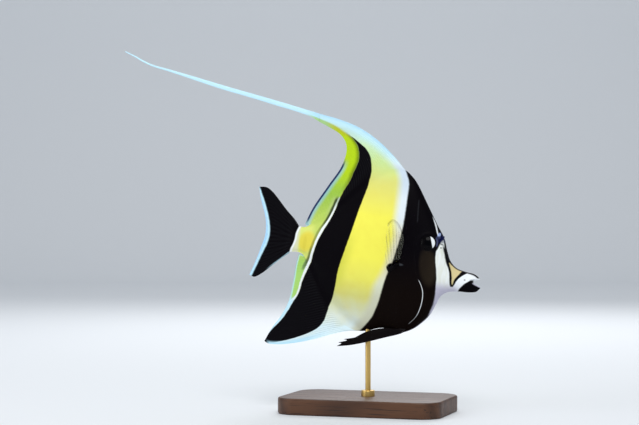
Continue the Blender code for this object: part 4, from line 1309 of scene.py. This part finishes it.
colour = skin.mix(
    colour,
    (pale, face),
    (BLACK, rimmed * face),
    (TAN, saddle * z.under(-0.2, 0.5)),
    (BLACK, median.most(ridge)),
    (NAVY, spot((55.8, 16), (2.4, 3), 0.6) * 0.55),
    (BLACK, chin),
    (LILAC, lip_line * chin * 0.9),
    (SLATE, spot((76.5, -10.8), (0.7, 0.6), 0.5) * 0.6),
    (SLATE, spot((56.2, 12.3), (1.3, 0.5), 0.6, turn=-20) * 0.75),
    (SLATE, spot((56.3, 9.8), (0.6, 0.5), 0.6, turn=-20) * 0.75),
    (OLIVE_SHEEN, cheek_sheen * (0.65 + x.over(50, 5) * 0.35)),
    (WHITE, stroke(CHEST_LINE, 0.4, 0.2) * chest_fade),
    (WHITE, stroke(BROW_LINE, 0.7, 0.3) * (1 - median) * 0.9),
    # A faint grey line behind the head: a painted highlight.
    (SLATE, stroke(NECK_HIGHLIGHT, 0.6) * 0.18),
    (tint(72, 78, 112), spot((52.7, 13.8), (1, 3.4), 0.7, turn=12) * 0.8),
    (tint(176, 196, 244), spot((53.1, 18.6), (0.9, 1.7), 0.6) * (1 - median) * 0.8),
    (LILAC, keel * 0.5),
)
print("face painted")

# %% [markdown]
# ## Fin edges
# The front edge of the dorsal fin, its streamer and the lower edge of the anal fin are bluish white. The rear
# edges carry a thin dark line with a light one inside it. The tail is black with a pale rear margin.

# %% Fin edges
WEDGE = [
    (-62.4, 94.4), (-57, 93.1), (-50.6, 91.5), (-42.6, 89.4), (-38.1, 87.9), (-34, 86.3), (-29.8, 84.1),
    (-24.9, 81.9), (-21.4, 80.1),
]
FIN_BLUE = tint(180, 227, 253)
TAIL_SLOPE = 0.928
forked = reach.over(0.55, 0.3)
rays = ray.wave(1) * (1 - forked) + ray.wave(2) * forked
front_fin = z.over(60, 10) * (1 - behind_two) * ahead(BAR_TWO_FRONT)
white_edge = skin.mix(WHITE, (ICE, z.over(66, 8)), (tint(204, 219, 232), z.under(64, 3)))
low_edge_tone = skin.mix(tint(192, 234, 252), (tint(228, 250, 255), x.over(-30, 14)))
low_edge_mask = lead.under(x.over(-30, 45) * 3.4 + 1.6, 1.2) * reach.over(0.015, 0.01) * z.under(-40, 4)
top_white = ahead(WEDGE, soft=2.5) * (1 - bar_two) * z.over(77, 2) * x.under(-20, 8)
top_tone = skin.mix(tint(200, 230, 216), (ICE, lead.under(4.5, 3)), (FIN_BLUE, lead.under(1.2, 1) * 0.7))
streamer = x.under(-58, 5) * z.over(84, 1)
soft_rear = behind_two * on_fin * x.over(-57, 1).most(z.under(-43, 1)) * (1 - streamer) * (1 - top_white)
inner = trail.under(3.1, 1.9) * z.under(60, 5) * z.over(-10, 4)
outer = trail.under(1.5, 0.4) * z.over(14, 3) * z.under(62, 4)
anal_rear = soft_rear * z.under(-10, 4)
tail_foot = x - border(TAIL_FOOT)
tail = tail_foot.under(0, 0.4) * z.over(-42, 1) * z.under(45, 1)
tail_rim = skin.mix(tint(172, 218, 250), (ICE, ahead(TAIL_BLACK_REAR, soft=0.8, shift=-1.5)))
tail_colour = skin.mix(tail_rim, (BLACK, ahead(TAIL_BLACK_REAR, soft=0.7)))
from_tail_edge = abs(z + 10.6 - (x + 60) * TAIL_SLOPE)
tail_edge_mask = from_tail_edge.under(0.9, 0.4) * x.over(-74, 4) * x.under(-60, 1) * z.under(-10, 1)
foot = abs(tail_foot - 0.6).under(0.8, 0.4) * z.over(-14, 1) * z.under(14, 1)
colour = skin.mix(
    colour,
    (white_edge, front_fin * lead.under(4.8, 4.4) * 0.95),
    (FIN_BLUE, front_fin * lead.under(1.2, 1) * z.over(74, 6) * 0.7),
    (low_edge_tone, low_edge_mask * x.over(-68, 2)),
    (top_tone, top_white),
    (ICE, streamer),
    (SKY, soft_rear * inner * 0.75),
    (NAVY, soft_rear * outer * 0.95),
    (ICE, anal_rear * trail.under(1.1, 0.5) * 0.7),
    (NAVY, anal_rear * trail.under(0.35, 0.2) * z.over(-30, 8) * 0.4),
    (ICE, anal_rear * z.under(-45, 3) * 0.95),
    (tail_colour, tail),
    (ICE, tail_edge_mask * 0.6),
    (WHITE, foot * 0.85),
)
web_shade = (1 - rays) * reach.over(0.1, 0.1) * 0.05
colour = skin.mix(colour, (skin.mix(colour, (SLATE, 0.8)), web_shade))
print("fin edges and tail painted")

# %% [markdown]
# ## Surface of the skin
# The scales are so small that the skin looks like velvet: a pattern of fine cells gives a faint bump. The
# fins carry their rays as bump too, split in two towards the margin. The gloss is low, because the bars have
# to stay deep black under studio light.

# %% Surface of the skin
SCALES_A_MM = 1.5
SCALE_RELIEF_MM = 0.05
RAY_RELIEF_MM = 0.06
cells = skin.node("TexVoronoi", {"feature": "SMOOTH_F1"}, {"Vector": place, "Scale": SCALES_A_MM}, "Distance")
scales = skin.bump(cells * (1 - on_fin), SCALE_RELIEF_MM)
scales_and_rays = skin.bump(rays * reach.over(0.08, 0.08), RAY_RELIEF_MM, scales)
skin.finish([fish_skin], colour, 0.42 + mottle * 0.16, gloss=0.035, Normal=scales_and_rays)

# %% [markdown]
# ## Clear and dark fins
# The web of a pectoral fin is nearly clear. What shows are a thin rim and a few bundles of rays that slant
# to its rear edge, so the alpha follows those, and each single ray is only a fine bump. The fleshy foot is
# black like the bar that it sits on. The pelvic fins are black with a faint brown sheen on the rays.

# %% Clear and dark fins
RAYS_A_BUNDLE = 3
BUNDLE_SLANT = 8
BUNDLE_ALPHA = 0.14
RIM_ALPHA = 0.1
RAY_ALPHA = 0.015
WEB_ALPHA = 0.004
WEB_COLOUR = tint(222, 226, 204)
RAY_COLOUR = tint(40, 38, 28)

clear = Paint("clear_fin")
ray, reach = clear.stored("ray"), clear.stored("reach")
fine = ray.wave(1) ** 3
bundles = (ray - reach * BUNDLE_SLANT).wave(1 / RAYS_A_BUNDLE) ** 3
bundles = bundles * reach.over(0.2, 0.2) * reach.under(0.85, 0.15)
rim = reach.over(0.94, 0.04)
drawn = bundles.most(rim).most(fine * 0.6)
alpha = (bundles * BUNDLE_ALPHA + rim * RIM_ALPHA + fine * RAY_ALPHA + WEB_ALPHA).most(reach.under(0.1, 0.04))
web = clear.mix(WEB_COLOUR, (RAY_COLOUR, drawn), (BLACK, reach.under(0.2, 0.06)))
clear.finish(pectorals.values(), web, 0.5, gloss=0.1, Alpha=alpha, Normal=clear.bump(fine, 0.1))

dark_fin = Paint("dark_fin")
lines = dark_fin.stored("ray").wave(1)
ridges = dark_fin.bump(lines * dark_fin.stored("reach").over(0.05, 0.05), 0.12)
sheen = dark_fin.mix(BLACK, (BROWN_SHEEN, lines))
dark_fin.finish(pelvics.values(), sheen, 0.5 - lines * 0.08, gloss=0.06, Normal=ridges)

# %% [markdown]
# ## Finish of eyes, horns and mouth
# The eye is black all over: a black iris round the pupil, under a clear polished cornea. A white crescent
# lies at its front rim, widest above. The coat of the shader stands for the cornea. The horns are dark
# blue-grey bone.

# %% Eyes, horns and mouth
IRIS_RADIUS = 2.7
CRESCENT_LEAN = 0.38
CRESCENT_FROM = 2.6
CRESCENT_TO = 4.9
CRESCENT_LOW = -4
CORNEA = {"Coat Weight": 0.06, "Coat Roughness": 0.03}

eye_paint = Paint("polished_eye")
place = eye_paint.stored("place", "Vector")
x, y, _ = eye_paint.parts(place)
from_axis = (x * x + y * y) ** 0.5
fibre = eye_paint.grain(place, 1.6) * from_axis.over(IRIS_RADIUS, 0.25)
crescent = (x + y * CRESCENT_LEAN).over(CRESCENT_FROM, 0.3) * from_axis.under(CRESCENT_TO, 0.25)
white_part = crescent * y.over(CRESCENT_LOW, 0.4)
eye_colour = eye_paint.mix(tint(2, 2, 4), (tint(8, 6, 7), fibre), (WHITE, white_part))
eye_paint.finish(eyes.values(), eye_colour, 0.15, gloss=0.02, **CORNEA)


def grained(name, grain, low, high, roughness, gloss, depth_mm, pieces):
    """A finish between two tones. One noise gives the change of tone and a slight relief."""
    paint = Paint(name)
    noise = paint.grain(paint.stored("place", "Vector"), *grain)
    paint.finish(pieces, paint.mix(low, (high, noise)), roughness, gloss, Normal=paint.bump(noise, depth_mm))


grained("horn", (1.2, (0.4, 3, 3)), tint(20, 24, 48), tint(52, 62, 108), 0.35, 0.35, 0.05, horns.values())
# The lining of the mouth is near black: painted shade inside the open mouth.
grained("mouth_lining", (0.8,), tint(8, 5, 6), tint(26, 14, 14), 0.5, 0.1, 0.2, [lining])

# %% [markdown]
# ## Walnut and brass
# Walnut has long wavy grain with dark pores along it. Noise that is stretched along the plate gives the
# grain, and a second, finer one the pores. The brass is brushed round its axis, so its fine lines run round
# the rod and the collar.

# %% Walnut and brass
RINGS_A_METRE = 128
RING_WANDER = 6.4
PORE_LEVEL = 0.62

walnut = Paint("oiled_walnut")
place = walnut.node("TexCoord", output="Object")
drift = walnut.grain(place, 14, (0.25, 1, 1), 2)
rings = (walnut.parts(place)[1] * RINGS_A_METRE + drift * RING_WANDER).wave(1)
fine = walnut.grain(place, 120, (0.12, 1.6, 1.6), 4)
pores = walnut.grain(place, 900, (0.03, 1, 1), 2).over(PORE_LEVEL, 0.05)
dark_wood, pore_brown = (tint(58, 35, 23), rings * 0.55 + fine * 0.45), (tint(30, 18, 12), pores * 0.7)
board = walnut.mix(tint(96, 62, 40), dark_wood, pore_brown)
walnut.finish([plate], board, 0.38 + fine * 0.14, gloss=0.35, Normal=walnut.bump(1 - pores, 0.08))

brass = Paint("brushed_brass")
brushed = brass.grain(brass.node("TexCoord", output="Object"), 400, (0.1, 0.1, 12), 2)
metal = brass.mix(tint(206, 168, 92), (tint(228, 196, 126), brushed))
brass.finish([rod, collar], metal, 0.24 + brushed * 0.14, Metallic=1.0, Normal=brass.bump(brushed, 0.02))

# %% [markdown]
# ## Floor and light
# The stand is on a plain pale floor that sweeps up behind it, as a photographer's paper roll does. One large
# soft light comes from above and in front, and two weaker ones fill the shadows and draw a rim along the
# back. A fourth one keeps the far end of the paper pale.

# %% Floor and lights
SWEEP_DEPTH = 2.4
SWEEP_RADIUS = 0.6
SWEEP_HEIGHT = 3.0
SWEEP_HALF_WIDTH = 4.0
SWEEP_FRONT = 5.0
FISH = Vector((-0.02, 0, 0.13))
WALL = Vector((-0.9, 2.7, 0.4))
AIR_COLOUR = (0.9, 0.94, 1.0, 1)
AIR_STRENGTH = 0.48
LIGHTS = {
    "key_light": ((0.35, -1.0, 1.35), FISH, 0.9, 13.5, (1.0, 0.99, 0.97)),
    "fill_light": ((-1.1, -0.9, 0.6), FISH, 1.2, 5.2, (0.96, 0.98, 1.0)),
    "rim_light": ((-0.2, 1.1, 0.9), FISH, 0.8, 6.5, (1.0, 1.0, 1.0)),
    "wall_light": ((-0.35, 1.1, 2.0), WALL, 1.5, 8, (1.0, 1.0, 1.0)),
}

arc = np.linspace(0, math.pi / 2, 24)
line = [(-SWEEP_FRONT, 0.0), (SWEEP_DEPTH, 0.0)]
line += [(SWEEP_DEPTH + SWEEP_RADIUS * math.sin(a), SWEEP_RADIUS * (1 - math.cos(a))) for a in arc[1:]]
line += [(SWEEP_DEPTH + SWEEP_RADIUS, SWEEP_HEIGHT)]
turn_back = Matrix.Rotation(VIEW_TURN, 4, "Z")
sweep_points = np.array([(side * SWEEP_HALF_WIDTH, y, z) for y, z in line for side in (-1, 1)]) / MM
floor = new_object("studio_floor", sweep_points, grid_faces(len(line), 2)[:, ::-1], pose=turn_back)
paper = Paint("studio_paper")
tooth = paper.grain(paper.node("TexCoord", output="Object"), 1500)
paper.finish([floor], paper.mix(tint(226, 230, 234), (tint(232, 235, 238), tooth)), 0.9, gloss=0.1)

for name, (place, target, size, power, colour) in LIGHTS.items():
    lamp = bpy.data.lights.new(name, "AREA")
    lamp.shape = "DISK"
    lamp.size = size
    lamp.energy = power
    lamp.color = colour
    holder = linked(name, lamp)
    holder.location = place
    holder.rotation_euler = (target - Vector(place)).to_track_quat("-Z", "Y").to_euler()

world = bpy.data.worlds.new("studio_air")
world.use_nodes = True
air = world.node_tree.nodes["Background"].inputs
air["Color"].default_value, air["Strength"].default_value = AIR_COLOUR, AIR_STRENGTH
bpy.context.scene.world = world
bpy.context.scene.view_settings.view_transform = "Standard"
print("lights:", ", ".join(LIGHTS))

# %% [markdown]
# ## Where each piece belongs
# The table below says which plain solids each piece stands for and which finish it takes. The pieces all
# ride on the one body of a still model.

# %% Pieces and the solids that they stand for
SKIN_NODES = (
    "head", "lower_jaw", "trunk", "tail_stalk", "caudal_fin", "dorsal_fin_front", "dorsal_fin_rear",
    "dorsal_filament_inner", "dorsal_filament_outer", "anal_fin",
)
places = [(fish_skin, "body_skin", SKIN_NODES), (lining, "head_skin", ())]
for side, word in SIDE_NAMES.items():
    places.append((pectorals[side], "clear_fin", (f"pectoral_fin_{word}",)))
    places.append((pelvics[side], "dark_fin", (f"pelvic_fin_{word}",)))
    places.append((eyes[side], "eye", (f"eye_{word}",)))
    places.append((horns[side], "horn", (f"brow_horn_{word}",)))
places.append((plate, "stand_wood", ("stand_base",)))
places.append((rod, "stand_metal", ("stand_rod",)))
places.append((collar, "stand_metal", ("stand_collar",)))
for piece, slot, nodes in places:
    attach(piece, "root")
    if nodes:
        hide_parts(*nodes)
print(len(places), "pieces stand for", sum(len(nodes) for _, _, nodes in places), "solids")
